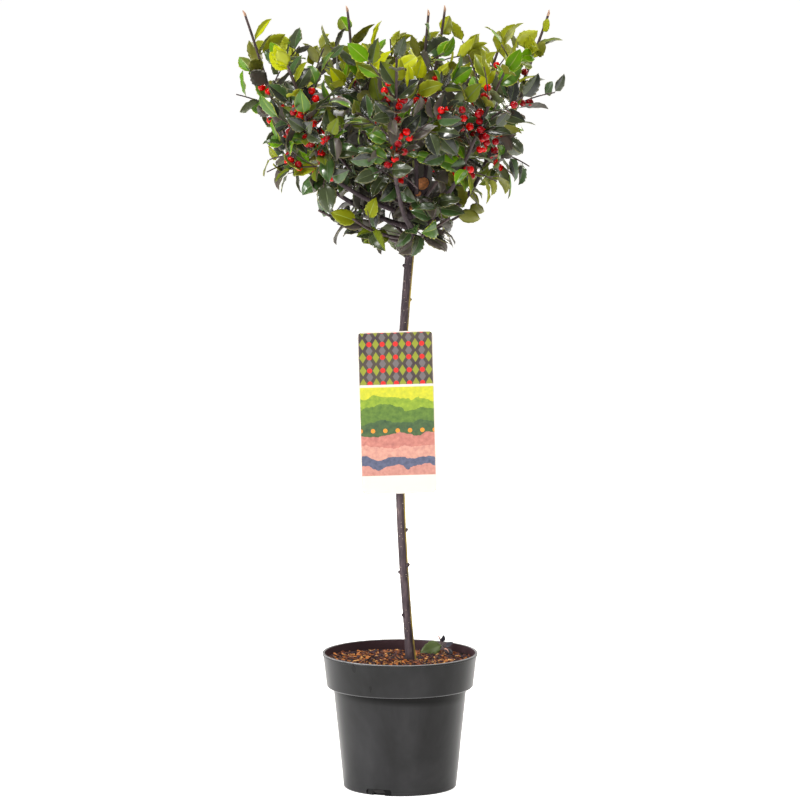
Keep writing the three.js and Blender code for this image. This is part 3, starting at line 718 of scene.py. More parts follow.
def grow_finer(mass, store):
    """The finer growth of a mass: twigs, berries and leaves. Twigs that stay bare are left off."""
    grow_fine_twigs(mass)
    draw = mass.draw
    leafy = set()
    for twig in mass.twigs:
        twig.top = 0 if twig.pruned else FINE.highest_top
        twig.inset = FINE.least_inset
    stems = mass.twigs + mass.fine_twigs
    stem_samples = samples_of(stems)
    for number, twig in enumerate(stems):
        turn = between(draw, 0, 2 * math.pi)
        plan = []
        if twig in mass.fine_twigs:
            nodes = np.arange(FINE.leaf_first, twig.length - FINE.leaf_end, FINE.leaf_spacing)
            plan = [(at / twig.length, LEAF.opening) for at in nodes]
        for i in range(FINE.at_tip):
            plan.append((1 - 1 / twig.length, LEAF.tip_opening + FINE.tip_step * i))
        for t, opening in plan:
            turn += GOLDEN_TURN
            size = between(draw, FINE.leaf_shortest, FINE.leaf_longest)
            angle = math.radians(opening + around(draw, LEAF.opening_spread))
            for attempt in range(FINE.leaf_tries):
                spin, shrunk = turn + attempt * FINE.leaf_turn, size * (1 - LEAF.shrink * attempt)
                leaf = lifted_leaf(twig, t, spin, angle, shrunk)
                if fine_leaf_fits(leaf, twig, mass, stem_samples, store):
                    leaf.spray, leaf.fine = number, True
                    leafy.add(twig)
                    store.add(leaf)
                    mass.fine_leaves.append(leaf)
                    break
    mass.fine_twigs = [twig for twig in mass.fine_twigs if twig in leafy or twig.bears]


def fine_leaf_fits(leaf, twig, mass, stem_samples, store):
    limbs, limb_radii = mass.obstacles
    points, radii = stem_samples
    if (
        not in_crown(leaf.samples, twig.top, twig.inset)
        or near_leaf(limbs, leaf, limb_radii + FINE.leaf_limb)
        or near_leaf(berries_of(mass), leaf, BERRY.radius)
        or before_cut(leaf)
    ):
        return False
    far = np.linalg.norm(points - leaf.root, axis=1) > CLEAR.leaf_stem
    return not (
        near_leaf(points[far], leaf, radii[far] + FINE.leaf_twig)
        or store.meets(leaf, FINE.leaf_leaf)
    )


def share_above(z, over):
    """How far a height lies into a band, given by its foot and its height, from 0 to 1."""
    foot, height = over
    return min(1, max(0, (z - foot) / height))


def lifted_leaf(twig, t, turn, opening, length):
    """A leaf of the finer growth: near the top it stands up, and low down it hangs."""
    leaf = leaf_at(twig, t, turn, opening, length)
    z = leaf.root[2]
    lift = FINE.lift * share_above(z, FINE.lift_over) - FINE.hang * max(0, droop_at(z))
    return Leaf(leaf.root, unit(leaf.axis + UP * lift), leaf.normal, length)


def before_cut(leaf):
    """Whether a leaf hides the sawn head of the trunk from the front, as the camera looks down."""
    x, y, z = (leaf.samples - trunk_point(SAW_CUT.z)).T
    half_width, half_height, fall = SAW_CUT.window
    return bool(((np.abs(x) < half_width) & (y < 0) & (np.abs(z + fall * y) < half_height)).any())


def side_twig(parent, t, turn, opening, size):
    stem, away = parent.round(t, turn)
    start = parent.points(t)
    droop = droop_at(start[2])
    way = stem * math.cos(opening) + away * math.sin(opening)
    way[2] -= FINE.twig_droop * droop
    way[2] += FINE.twig_lift * FINE.lift * share_above(start[2], FINE.lift_over)
    way = unit(way)
    end = start + way * size
    end[2] += FINE.rise * size * (1 - max(0, droop))
    radius = min(FINE.radius, float(parent.radius(t)) * FINE.foot)
    return Limb(Bezier(start, start + way * size / 2, end), FINE.pieces, radius, FINE.tip_radius)


def twig_fits(twig, mass):
    samples, radii = twig.samples, twig.sample_radii
    return (
        in_crown(samples[1:], twig.top - FINE.top_room, twig.inset + FINE.end_inset)
        and clear_of(samples[2:], radii[2:], *mass.obstacles, FINE.twig_limb)
        and clear_of(samples[1:], radii[1:], berries_of(mass), BERRY.radius, FINE.twig_berry)
    )


def fine_berries(twig, mass, draw):
    """A cluster of berries near a side twig's foot, on its outward side."""
    count = whole(draw, FINE_BERRY.fewest, FINE_BERRY.most)
    first_turn = between(draw, 0, 2 * math.pi)
    foot = twig.points(FINE_BERRY.foot)
    if not FINE_BERRY.from_z <= foot[2] <= FINE_BERRY.to_z:
        return
    outward = unit((foot - (CROWN.x, CROWN.y, 0)) * (1, 1, 0))
    turns = [first_turn + turn for turn in turns_of(FINE_BERRY.turns)]
    turns = [
        turn for turn in turns
        if np.dot(twig.round(FINE_BERRY.side_at, turn)[1], outward) > FINE_BERRY.least_outward
    ]
    for i in range(count):
        t = min(FINE_BERRY.furthest, (FINE_BERRY.first + i * FINE_BERRY.spacing) / twig.length)
        _, away = twig.round(t, turns[(i * FINE_BERRY.turn_step) % len(turns)])
        place = twig.points(t) + away * (BERRY.radius + FINE_BERRY.seat)
        if berry_fits(place, mass) and in_crown(place, twig.top, twig.inset):
            bear(mass, twig, t, place)
            twig.bears = True


all_boughs = []
boughs_of = {}
for ring in RINGS:
    count = ring.count if ring.bough else 0
    boughs_of[ring.name] = [bough_limb(ring, index) for index in range(count)]
    all_boughs += boughs_of[ring.name]
head_z = TRUNK.tip_z - np.arange(0, TRUNK.head_length, TWIG.sample_step)
points, radii = samples_of(all_boughs)
limb_samples = (
    np.concatenate([trunk_point(head_z), points]), np.concatenate([trunk_radius(head_z), radii])
)
masses = []
for ring in RINGS:
    for index in range(ring.count):
        bough = boughs_of[ring.name][index] if ring.bough else None
        masses.append(grow_mass(ring, index, bough, limb_samples))

store = LeafStore()
for mass in masses:
    # The photo shows the sawn head of the trunk, so the few leaves before it are left off.
    mass.first_leaves = [leaf for leaf in mass.leaves.leaves if not before_cut(leaf)]
    for leaf in mass.first_leaves:
        store.add(leaf)
for mass in masses:
    grow_finer(mass, store)

# ---------------------------------------------------------------- meshes


def grid_faces(rows, columns, closed=False):
    """Triangles of a grid of rows by columns of points, closed round the columns or not."""
    last = columns if closed else columns - 1
    i, j = np.meshgrid(np.arange(rows - 1), np.arange(last), indexing="ij")
    a = (i * columns + j).ravel()
    b = (i * columns + (j + 1) % columns).ravel()
    c, d = a + columns, b + columns
    return np.concatenate([np.stack([a, b, d], 1), np.stack([a, d, c], 1)])


def capped(rings, first, last):
    """Rings of points, closed at each end by a fan round a point: the points and triangles."""
    count, sides = len(rings), len(rings[0])
    j = np.arange(sides)
    k, top = (j + 1) % sides, (count - 1) * sides
    faces = [
        grid_faces(count, sides, closed=True),
        np.stack([np.full(sides, count * sides), k, j], 1),
        np.stack([np.full(sides, count * sides + 1), top + j, top + k], 1),
    ]
    return np.concatenate([*rings, [first, last]]), np.concatenate(faces)


def placed(name, data):
    """An object in the scene that holds the data."""
    one = bpy.data.objects.new(name, data)
    bpy.context.scene.collection.objects.link(one)
    return one


def mesh_of(name, points, faces):
    mesh = bpy.data.meshes.new(name)
    mesh.from_pydata((np.asarray(points) * MM).tolist(), [], np.asarray(faces).tolist())
    return mesh


def finish_piece(name, mesh, replaces=()):
    piece = placed(name, mesh)
    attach(piece, "root")
    if replaces:
        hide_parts(*replaces)


class Bundle:
    """Points and triangles that are joined into one piece, each triangle with a finish."""

    def __init__(self):
        self.points, self.faces, self.finishes = [], [], []
        self.count = 0

    def add(self, points, faces, finish=0):
        self.points.append(points)
        self.faces.append(np.asarray(faces) + self.count)
        self.finishes.append(np.broadcast_to(finish, len(faces)))
        self.count += len(points)

    def piece(self, name, materials, slot, replaces=(), smooth=True):
        mesh = mesh_of(name, np.concatenate(self.points), np.concatenate(self.faces))
        for one in materials:
            mesh.materials.append(one)
        finishes = np.concatenate(self.finishes)
        mesh.polygons.foreach_set("material_index", finishes.astype(np.int32))
        mesh.validate()
        if smooth:
            mesh.shade_smooth()
        finish_piece(name, mesh, replaces)


def swept(points, radii, sides, relief=None):
    """A closed tube through points with a radius at each: its points and triangles."""
    points = np.asarray(points, float)
    tangents = np.gradient(points, axis=0)
    tangents /= np.linalg.norm(tangents, axis=1)[:, None]
    normal = unit(np.cross(tangents[0], np.eye(3)[np.argmin(np.abs(tangents[0]))]))
    turns = turns_of(sides)
    rings = []
    for k, (point, tangent) in enumerate(zip(points, tangents)):
        normal = unit(normal - tangent * np.dot(normal, tangent))
        across = np.cross(tangent, normal)
        radius = radii[k] + (relief(k, turns) if relief else 0)
        rings.append(
            point
            + (np.cos(turns) * radius)[:, None] * normal
            + (np.sin(turns) * radius)[:, None] * across
        )
    return capped(rings, points[0], points[-1])


def limb_tube(limb, rows, sides):
    t = np.linspace(0, 1, rows)
    return swept(limb.line.points(limb.line.at_length(t)), limb.radius(t), sides)


def lathe(profile, segments):
    """A surface turned about Z from (radius, height) pairs, whose ends lie on the axis."""
    profile = np.array(profile, float)
    turns = turns_of(segments)
    radii, heights = profile[1:-1].T[..., None]
    rings = np.stack(
        np.broadcast_arrays(radii * np.cos(turns), radii * np.sin(turns), heights), axis=-1
    )
    return capped(rings, (0, 0, profile[0, 1]), (0, 0, profile[-1, 1]))


def ball(segments, rings):
    """A unit ball about Z: its points and triangles, and each triangle's height."""
    polar = np.linspace(0, np.pi, rings + 1)
    points, faces = lathe(np.stack([np.sin(polar), np.cos(polar)], 1), segments)
    faces = faces[:, ::-1]
    return points, faces, points[faces][:, :, 2].mean(axis=1)


# ---------------------------------------------------------------- materials

SHADER_SOCKETS = dict(
    color="Base Color", roughness="Roughness", specular="Specular IOR Level", normal="Normal",
    glow="Emission Strength", glow_color="Emission Color",
)
BLACK, WHITE = (0, 0, 0, 1), (1, 1, 1, 1)


def srgb(*channels):
    """A colour given in steps of 0 to 255 as a screen shows them, as linear light."""
    shares = [channel / 255 for channel in channels]
    return (
        *(v / 12.92 if v <= 0.04045 else ((v + 0.055) / 1.055) ** 2.4 for v in shares), 1.0
    )


class Value:
    """A node's output. Sums and comparisons with it add further nodes."""

    def __init__(self, graph, socket):
        self.graph, self.socket = graph, socket

    def apply(self, operation, *others):
        inputs = dict(enumerate((self, *others)))
        return self.graph.node("Math", inputs, operation=operation)

    __add__ = partialmethod(apply, "ADD")
    __sub__ = partialmethod(apply, "SUBTRACT")
    __mul__ = partialmethod(apply, "MULTIPLY")
    __truediv__ = partialmethod(apply, "DIVIDE")
    __pow__ = partialmethod(apply, "POWER")
    __lt__ = partialmethod(apply, "LESS_THAN")
    __gt__ = partialmethod(apply, "GREATER_THAN")
    __abs__ = partialmethod(apply, "ABSOLUTE")

    def within(self, low, high):
        return (self > low) * (self < high)


class Graph:
    """A material with a Principled shader, and short ways to add nodes to it."""

    def __init__(self, name, color, roughness, **inputs):
        self.material = bpy.data.materials.new(name)
        self.material.use_nodes = True
        self.material.diffuse_color = color
        self.tree = self.material.node_tree
        self.shader = next(one for one in self.tree.nodes if one.type == "BSDF_PRINCIPLED")
        self.finish(color=color, roughness=roughness, **inputs)

    def put(self, node, inputs):
        for key, value in inputs.items():
            if isinstance(value, Value):
                self.tree.links.new(value.socket, node.inputs[key])
            else:
                node.inputs[key].default_value = value

    def finish(self, **inputs):
        """Sets or links inputs of the shader."""
        self.put(self.shader, {SHADER_SOCKETS[key]: value for key, value in inputs.items()})

    def node(self, kind, inputs, output=0, **settings):
        node = self.tree.nodes.new("ShaderNode" + kind)
        for key, value in settings.items():
            setattr(node, key, value)
        self.put(node, inputs)
        return Value(self, node.outputs[output])

    def at(self, name):
        """Texture coordinates, such as those of the object or the normal."""
        return self.node("TexCoord", {}, name)

    def xyz(self, vector):
        node = self.node("SeparateXYZ", {0: vector}).socket.node
        return [Value(self, output) for output in node.outputs]

    def place(self, scale):
        return self.node("Mapping", {0: self.at("Object"), "Scale": scale})

    def noise(self, scale, detail, stretch=(1, 1, 1), rough=0.55, distortion=0):
        inputs = dict(Scale=scale, Detail=detail, Roughness=rough, Distortion=distortion)
        return self.node("TexNoise", inputs | {"Vector": self.place(stretch)}, "Fac")

    def ramp(self, value, *stops):
        ramp = self.node("ValToRGB", {0: value})
        elements = ramp.socket.node.color_ramp.elements
        while len(elements) < len(stops):
            elements.new(0.5)
        for element, (position, color) in zip(elements, stops):
            element.position, element.color = position, color
        return ramp

    def mix(self, share, first, second):
        return self.node("Mix", {0: share, 6: first, 7: second}, 2, data_type="RGBA")

    def range(self, value, low, high):
        return self.node("MapRange", {"Value": value, "To Min": low, "To Max": high})

    def bump(self, height, strength, distance):
        inputs = dict(Height=height, Strength=strength, Distance=distance)
        self.finish(normal=self.node("Bump", inputs))


def plain_material(name, color, roughness, **inputs):
    return Graph(name, color, roughness, **inputs).material


def grained_material(name, color, roughness, noise, *stops):
    graph = Graph(name, color, roughness)
    grain = graph.noise(*noise)
    graph.finish(color=graph.ramp(grain, *stops))
    graph.bump(grain, 0.3, 0.0003)
    return graph.material


def cut_material(name, color, dark):
    return grained_material(name, color, 0.75, (420, 4), (0.3, dark), (0.62, color))


# The height below which the trunk's lit side gets its yellow-green, partly painted light.
LIT_SIDE_TOP = 672


def bark_material():
    graph = Graph("bark", srgb(66, 56, 58), 0.8, specular=0.3)
    grain = graph.noise(210, 6, (1, 1, 0.22), 0.62)
    base = graph.ramp(
        grain, (0.28, srgb(32, 25, 29)), (0.48, srgb(54, 43, 48)), (0.66, srgb(78, 65, 68)),
        (0.82, srgb(134, 120, 112)),
    )
    # Yellow-green patches on the +X side of the trunk, which stands lit: partly a green growth on
    # the bark, partly painted light on its lit edge.
    lit = graph.ramp(graph.xyz(graph.at("Normal"))[0], (0.6, BLACK), (0.9, WHITE))
    growth_and_lit_patches = graph.ramp(graph.noise(60, 3), (0.36, (0.25, 0.25, 0.25, 1)), (0.6, WHITE))
    share = lit * growth_and_lit_patches * 0.8 * (graph.xyz(graph.at("Object"))[2] < LIT_SIDE_TOP * MM)
    graph.finish(
        color=graph.mix(share, base, srgb(196, 172, 60)), roughness=graph.range(grain, 0.62, 0.92)
    )
    graph.bump(graph.noise(520, 5, (1, 1, 0.3), 0.6), 0.55, 0.0006)
    return graph.material


def pot_material():
    graph = Graph("nursery_pot_plastic", srgb(39, 39, 40), 0.38, specular=0.1)
    smudge = graph.noise(11, 5, (1, 1, 0.7), 0.6, 0.5)
    base = graph.ramp(
        smudge, (0.32, srgb(29, 29, 29)), (0.52, srgb(39, 39, 40)), (0.74, srgb(50, 50, 51))
    )
    x, _, z = graph.xyz(graph.at("Object"))

    def band(low, high):
        return z.within(low * MM, high * MM)

    # Towards or away from the axis, and the distance from it.
    inputs = {0: graph.at("Normal"), 1: graph.place((1, 1, 0))}
    facing = graph.node("VectorMath", inputs, "Value", operation="DOT_PRODUCT")
    radius = graph.node("VectorMath", {0: inputs[1]}, "Value", operation="LENGTH")
    # Painted shadow under the collar: it fades in from 12 mm below the collar, and reaches lower
    # towards +X.
    collar_shadow = (x * 0.05 + z - (COLLAR_Z - 12) * MM) / (7 * MM)
    collar_shadow = collar_shadow.apply("MAXIMUM", 0).apply("MINIMUM", 1)
    # Painted shade inside the drain notches and holes, which also darkens the base's underside.
    recess = (radius < (POT.foot_radius - 0.5) * MM) * (z < (DRAIN.height + 0.5) * MM)
    stains_and_painted_light = [
        # Painted shadow in the groove under the collar, and painted highlights along the collar's
        # lower bevel and the rim's top edge.
        ((z < (COLLAR_Z + 0.2) * MM) * collar_shadow, 0.92, srgb(8, 8, 8)),
        (band(COLLAR_Z + 0.25, COLLAR_Z + 1.3), 0.3, srgb(120, 120, 122)),
        (band(POT.height - 0.55, POT.height + 1), 0.6, srgb(160, 160, 162)),
        # The wall's inner face, stained by the mix, and painted shade in the drain notches and
        # holes.
        ((facing < 0) * band(COLLAR_Z, POT.height - 0.6), 0.85, srgb(62, 44, 48)),
        (recess, 0.9, srgb(6, 6, 6)),
    ]
    for mask, share, color in stains_and_painted_light:
        base = graph.mix(mask * share, base, color)
    graph.finish(color=base, roughness=graph.range(smudge, 0.2, 0.42))
    graph.bump(graph.noise(900, 2), 0.08, 0.0002)
    return graph.material


def soil_material():
    """Crumbs of mix, near black lower down in the pot, below the collar's height."""
    graph = Graph("potting_mix", srgb(58, 34, 26), 0.92)
    grain = graph.noise(330, 5, rough=0.65)
    dry = graph.ramp(
        grain, (0.3, srgb(24, 14, 14)), (0.5, srgb(58, 34, 26)), (0.7, srgb(104, 62, 36))
    )
    below_collar = graph.xyz(graph.at("Object"))[2] < COLLAR_Z * MM
    graph.finish(color=graph.mix(below_collar, dry, srgb(16, 12, 12)))
    graph.bump(grain, 0.6, 0.001)
    return graph.material


# ---------------------------------------------------------------- the leaves

BLADE = Named(
    teeth=5, tooth_at=0.72, notch=-0.4, petiole=0.1, last_tooth=0.9, rise_power=0.62,
    fall_power=1.02, petiole_width=0.016 / 0.27, tip_width=0.004 / 0.27, thickness=0.016, rib=0.05,
    arch=0.35, flatten=0.9, waves=3.1, tooth_lift=0.1, untwisted_at=0.3,
)
TOP_SHARES = np.array([-1, -0.94, -0.55, -BLADE.rib, BLADE.rib, 0.55, 0.94, 1])
BACK_SHARES = np.array([-0.5, 0, 0.5])
FINISH_BACK, FINISH_RIB, FINISH_EDGE, FINISH_LEFT, FINISH_RIGHT = range(5)


def blade_template():
    """The blade's grid: each point's share along and across, its width, tooth and side."""
    petiole = BLADE.petiole
    step = (BLADE.last_tooth - petiole) / BLADE.teeth
    along, tooth = [0.0, petiole], [0, 0]
    for k in range(BLADE.teeth):
        along += [petiole + (k + BLADE.tooth_at) * step, petiole + (k + 1) * step]
        tooth += [1, BLADE.notch]
    along, tooth = np.array([*along, 1.0]), [*tooth, 0]
    share = np.clip((along - petiole) / (1 - petiole), 0, 1)
    width = share**BLADE.rise_power * (1 - share) ** BLADE.fall_power
    least = np.where(along <= petiole, BLADE.petiole_width, BLADE.tip_width)
    width = np.maximum(width / width.max(), least)
    rows, columns = len(along), len(TOP_SHARES)
    points = [
        (along[i], s, width[i], tooth[i] * (abs(s) == 1), abs(s) < 1)
        for i in range(rows) for s in TOP_SHARES
    ]
    points += [(along[i], s, width[i], 0, -1) for i in range(rows) for s in BACK_SHARES]
    top = grid_faces(rows, columns)
    row, strip = np.divmod(top[:, 0], columns)
    middle = columns // 2 - 1
    finish = np.where(strip < middle, FINISH_LEFT, FINISH_RIGHT)
    finish[(strip == 0) | (strip == columns - 2)] = FINISH_EDGE
    finish[(strip == middle) | (along[row] < petiole)] = FINISH_RIB
    # The back joins the outline's two edges through points of its own.
    edge = np.arange(rows) * columns
    own = rows * columns + np.arange(rows * len(BACK_SHARES)).reshape(rows, -1)
    sheet = np.column_stack([edge, own, edge + columns - 1])
    back = sheet.ravel()[grid_faces(*sheet.shape)[:, ::-1]]
    finish = np.concatenate([finish, np.full(len(back), FINISH_BACK)])
    return (*np.array(points, float).T, np.concatenate([top, back]), finish)


TEMPLATE = blade_template()

# The range of each number that shapes a blade.
LOOKS = dict(
    half=(0.25, 0.3), fold=(0.3, 1), bend=(0.15, 1), twist=(-0.6, 0.6), wave=(0.006, 0.026),
    phase=(0, 2 * math.pi), roll=(-1, 1), spine=(0.02, 0.13),
)
FINE_ROLL, FIRST_ROLL = 0.9, 0.5
HANGING_BEND = 0.7


def blades(leaves, looks):
    """The points of many leaves. looks holds, for each leaf, the numbers that shape its blade."""
    u, v, w, tooth, through, _, _ = TEMPLATE
    root, axis, side, normal = np.array(
        [(leaf.root, leaf.axis, leaf.side, leaf.normal) for leaf in leaves]
    ).transpose(1, 0, 2)
    length = np.array([leaf.length for leaf in leaves])[:, None]
    half, fold, bend, twist, wave, phase, roll, spine = looks.T[:, :, None]
    side, normal = (
        side * np.cos(roll) + normal * np.sin(roll), normal * np.cos(roll) - side * np.sin(roll)
    )
    # The midrib is an arc, which starts by rising over the leaf's own direction.
    start = BLADE.arch * bend
    slope = start - bend * u
    x = (np.sin(start) - np.sin(slope)) / bend
    z = (np.cos(slope) - np.cos(start)) / bend
    across = v * w * (1 + spine * tooth) * half
    # Each half folds up from the rib and flattens outwards, and the margin waves.
    size = np.abs(v) * w * half
    rise = size * fold - BLADE.flatten * size**2 * fold / half
    rise += wave * v**2 * w * np.sin(2 * np.pi * BLADE.waves * u + phase * np.sign(v))
    rise += BLADE.tooth_lift * spine * tooth * w
    rise += through * BLADE.thickness / 2 * np.clip(w * 3, 0.4, 1)
    turn = twist * (u - BLADE.untwisted_at)
    cosine, sine = np.cos(turn), np.sin(turn)
    across, rise = across * cosine - rise * sine, across * sine + rise * cosine
    x -= rise * np.sin(slope)
    z += rise * np.cos(slope)
    return (
        root[:, None]
        + (length * x)[..., None] * axis[:, None]
        + (length * across)[..., None] * side[:, None]
        + (length * z)[..., None] * normal[:, None]
    )


def leaf_looks(draw, leaves):
    """The numbers that shape each blade: upright ones are flatter, and hanging ones curl more."""
    looks = [dict((key, between(draw, *LOOKS[key])) for key in LOOKS) for _ in leaves]
    for one, leaf in zip(looks, leaves):
        one["bend"] += HANGING_BEND * max(0, droop_at(leaf.root[2]))
        one["roll"] *= FINE_ROLL if leaf.fine else FIRST_ROLL
    return np.array([list(one.values()) for one in looks])


# The tones of a blade's face: colour, roughness, specular level, the back that goes with it, the
# rib, and the tone that the other half of a folded blade may take, a lighter or darker copy that
# paints light and shade across the fold.
TONES = dict(
    deep=(srgb(30, 36, 26), 0.25, 0.6, "dusky", "dull", "dark"),
    dark=(srgb(48, 58, 28), 0.24, 0.6, "dusky", "dull", "cool"),
    cool=(srgb(54, 80, 36), 0.24, 0.6, "grey", "dull", "deep"),
    ash=(srgb(80, 72, 66), 0.34, 0.45, "dusky", "dull", "deep"),
    green=(srgb(64, 100, 12), 0.28, 0.45, "grey", "fresh", "bright"),
    moss=(srgb(90, 102, 18), 0.45, 0.12, "olive", "dull", "dark"),
    bright=(srgb(86, 128, 2), 0.45, 0.12, "lime", "fresh", "moss"),
    lime=(srgb(164, 170, 2), 0.5, 0.1, "lime", "fresh", "olive"),
    olive=(srgb(114, 120, 8), 0.48, 0.1, "olive", "fresh", "moss"),
)
# Colour, roughness and specular level of the backs, the ribs, the pale edges and the faces.
FINISHES = dict(
    back_dusky=(srgb(78, 74, 66), 0.5, 0.5),
    back_grey=(srgb(86, 94, 60), 0.5, 0.5),
    back_olive=(srgb(110, 112, 26), 0.5, 0.5),
    back_lime=(srgb(152, 158, 10), 0.5, 0.5),
    rib_dull=(srgb(74, 86, 50), 0.45, 0.5),
    rib_fresh=(srgb(128, 146, 44), 0.45, 0.5),
    edge_dull=(srgb(102, 98, 52), 0.5, 0.5),
    edge_fresh=(srgb(152, 158, 40), 0.5, 0.5),
    **{name: tone[:3] for name, tone in TONES.items()},
)
FINISH_NAMES = list(FINISHES)
leaf_materials = [
    plain_material("leaf_" + name, color, roughness, specular=specular)
    for name, (color, roughness, specular) in FINISHES.items()
]
# On such a blade one half takes the partner tone, a lighter or darker copy: painted light and shade
# across the fold.
SPLIT = 0.5  # the share of blades whose halves differ

# The tones of each zone of the crown, from its darkest sprays to its lightest. The top's light
# yellow-greens are painted light through backlit leaves, and the heart's dark greens painted shade
# inside the crown.
ZONES = dict(
    top=["dark", "green", "moss", "bright", "bright", "olive", "lime", "lime"],
    heart=["deep", "deep", "dark", "ash", "cool", "moss"],
    middle=["deep", "deep", "dark", "cool", "cool", "ash", "green", "moss"],
    low=["dark", "cool", "cool", "green", "green", "ash", "moss", "olive"],
)
TOP_Z, LOW_Z, HEART_RADIUS = 858, 782, 70
TONE_JITTER, ZONE_JITTER = 0.2, 50


def tone_of(leaf, lightness, jitter):
    """The tone of a leaf, by its zone and by its spray's lightness."""
    z = leaf.root[2] + ZONE_JITTER * jitter
    radius = math.hypot(leaf.root[0] - CROWN.x, leaf.root[1] - CROWN.y)
    # The top zone's lighter tones are painted backlight, and the heart's darker ones painted shade.
    if z > TOP_Z:
        zone = "top"
    elif radius < HEART_RADIUS:
        zone = "heart"
    else:
        zone = "middle" if z > LOW_Z else "low"
    names = ZONES[zone]
    return names[int(min(len(names) - 1, max(0, (lightness + jitter) * len(names))))]


def finish_numbers(draw, tone):
    """The finishes of one leaf's back, rib, edge, left half and right half."""
    *_, back, rib, partner = TONES[tone]
    # The partner half paints the fold's light and shade.
    halves = [tone, partner if draw() < SPLIT else tone]
    if draw() < 0.5:
        halves.reverse()
    names = ["back_" + back, "rib_" + rib, "edge_" + rib, *halves]
    return [FINISH_NAMES.index(name) for name in names]


def leaves_piece(name, group, seed):
    draw = seeded_random(seed)
    leaves, finishes = [], []
    for mass in group:
        sprays = {}
        for leaf in mass.first_leaves + mass.fine_leaves:
            if leaf.spray not in sprays:
                sprays[leaf.spray] = draw()
            leaves.append(leaf)
            tone = tone_of(leaf, sprays[leaf.spray], around(draw, TONE_JITTER))
            finishes.append(finish_numbers(draw, tone))
    points = blades(leaves, leaf_looks(draw, leaves))
    *_, faces, finish = TEMPLATE
    faces = faces + (np.arange(len(leaves)) * points.shape[1])[:, None, None]
    bundle = Bundle()
    bundle.add(
        points.reshape(-1, 3), faces.reshape(-1, 3), np.array(finishes)[:, finish].ravel()
    )
    bundle.piece(name, leaf_materials, "foliage", [mass.name for mass in group])


outer, inner, middle, low = ([mass for mass in masses if mass.ring is ring] for ring in RINGS)
leaves_piece("outer_leaves_1_to_4", outer[:4], 301)
leaves_piece("outer_leaves_5_to_8", outer[4:], 302)
leaves_piece("inner_leaves", inner, 303)
leaves_piece("middle_and_low_leaves", middle + low, 304)

# ---------------------------------------------------------------- twigs and berries

young_bark = grained_material(
    "young_bark", srgb(60, 42, 44), 0.6, (260, 3, (1, 1, 0.4)), (0.3, srgb(36, 24, 28)),
    (0.55, srgb(62, 44, 46)), (0.8, srgb(98, 80, 70)),
)
pruned_cut = cut_material("pruned_wood", srgb(196, 158, 132), srgb(140, 104, 88))


# The rings of a pruned leader's tip: along it, aside, and the share of its radius and what's added.
SLANT = [(-2.5, 0, 1, 0.05), (0.5, 0, 1, 0.1), (2.5, 0.5, 0.75, 0), (5, 1.1, 0, 0.4)]


def slanted_cut(twig):
    """The pale slanted tip of a leader that was pruned."""
    way = unit(twig.tangents[-1])
    aside = unit(np.cross(way, (0, 1.0, 0)))
    places = [twig.points(1) + way * along + aside * over for along, over, _, _ in SLANT]
    return swept(places, [float(twig.radius(1)) * share + more for *_, share, more in SLANT], 8)


# The rows and sides of the tubes of leaders, shoots and finer twigs.
LEADER_TUBE, SHOOT_TUBE, FINE_TUBE = (20, 8), (10, 7), (6, 5)
twigs = Bundle()
for mass in masses:
    leader, *shoots = mass.twigs
    twigs.add(*limb_tube(leader, *LEADER_TUBE))
    if leader.pruned:
        twigs.add(*slanted_cut(leader), 1)
    for shoot in shoots:
        twigs.add(*limb_tube(shoot, *SHOOT_TUBE))
    for twig in mass.fine_twigs:
        twigs.add(*limb_tube(twig, *FINE_TUBE))
twigs.piece("twigs", [young_bark, pruned_cut], "bark")

# The eye is what lies above its height on a unit berry.
BERRY_LOOK = Named(eye=0.965, red_share=0.6, smallest=0.94, largest=1.04, stretch=1.02)
STALK_RADII = [0.5, 0.45, 0.45]
berries, stalks = Bundle(), Bundle()
berry_points, berry_faces, heights = ball(16, 11)
draw = seeded_random(411)
for mass in masses:
    for place, foot in zip(mass.berries, mass.stalks):
        out = unit(place - foot)
        across = unit(np.cross(out, UP if abs(out[2]) < 0.9 else (1.0, 0, 0)))
        size = BERRY.radius * between(draw, BERRY_LOOK.smallest, BERRY_LOOK.largest)
        local = berry_points * (size, size, size * BERRY_LOOK.stretch)
        tone = 0 if draw() < BERRY_LOOK.red_share else 1
        points = place + local @ [across, np.cross(out, across), out]
        berries.add(points, berry_faces, np.where(heights > BERRY_LOOK.eye, 2, tone))
        stalks.add(*swept([foot, foot + (place - foot) / 2, place], STALK_RADII, 5))
berry_materials = [
    plain_material("berry_red", srgb(204, 0, 0), 0.2, specular=0.25),
    plain_material("berry_crimson", srgb(146, 0, 14), 0.2, specular=0.25),
    plain_material("berry_eye", srgb(104, 14, 14), 0.5),
]
berries.piece("berries", berry_materials, "foliage")
stalks.piece(
    "berry_stalks", [plain_material("green_stem", srgb(112, 118, 68), 0.55)], "foliage"
)

# ---------------------------------------------------------------- trunk and boughs

# The knobs are on the trunk's head, and each bough has a collar where it leaves the trunk.
WOOD = Named(
    rows=420, sides=40, relief=0.32, knobs=0.9, knobs_from=690, knobs_over=30,
    bough_rows=60, bough_sides=14, bough_relief=0.22, collar=2.4, collar_length=5,
)
# The rings of the sawn face: the share of the rim's radius, and the height over the cut.
SAWN_RINGS, SAWN_MIDDLE = [(0.86, 0.2), (0.4, -0.1)], -0.3


def relief_noise(seed, count, low, high):
    """A few seeded waves along and round a limb, for its bark's relief."""
    draw = seeded_random(seed)
    waves = [
        (between(draw, low, high), whole(draw, 1, 7), between(draw, 0, 2 * math.pi),
         between(draw, 0.5, 1))
        for _ in range(count)
    ]

    def height(z, turn):
        return sum(
            weight * np.sin(z * rate + lobes * turn + phase)
            for rate, lobes, phase, weight in waves
        ) / count

    return height


wood = Bundle()
trunk_relief = relief_noise(77, 14, 0.03, 0.9)
knobs = relief_noise(78, 8, 0.1, 0.35)


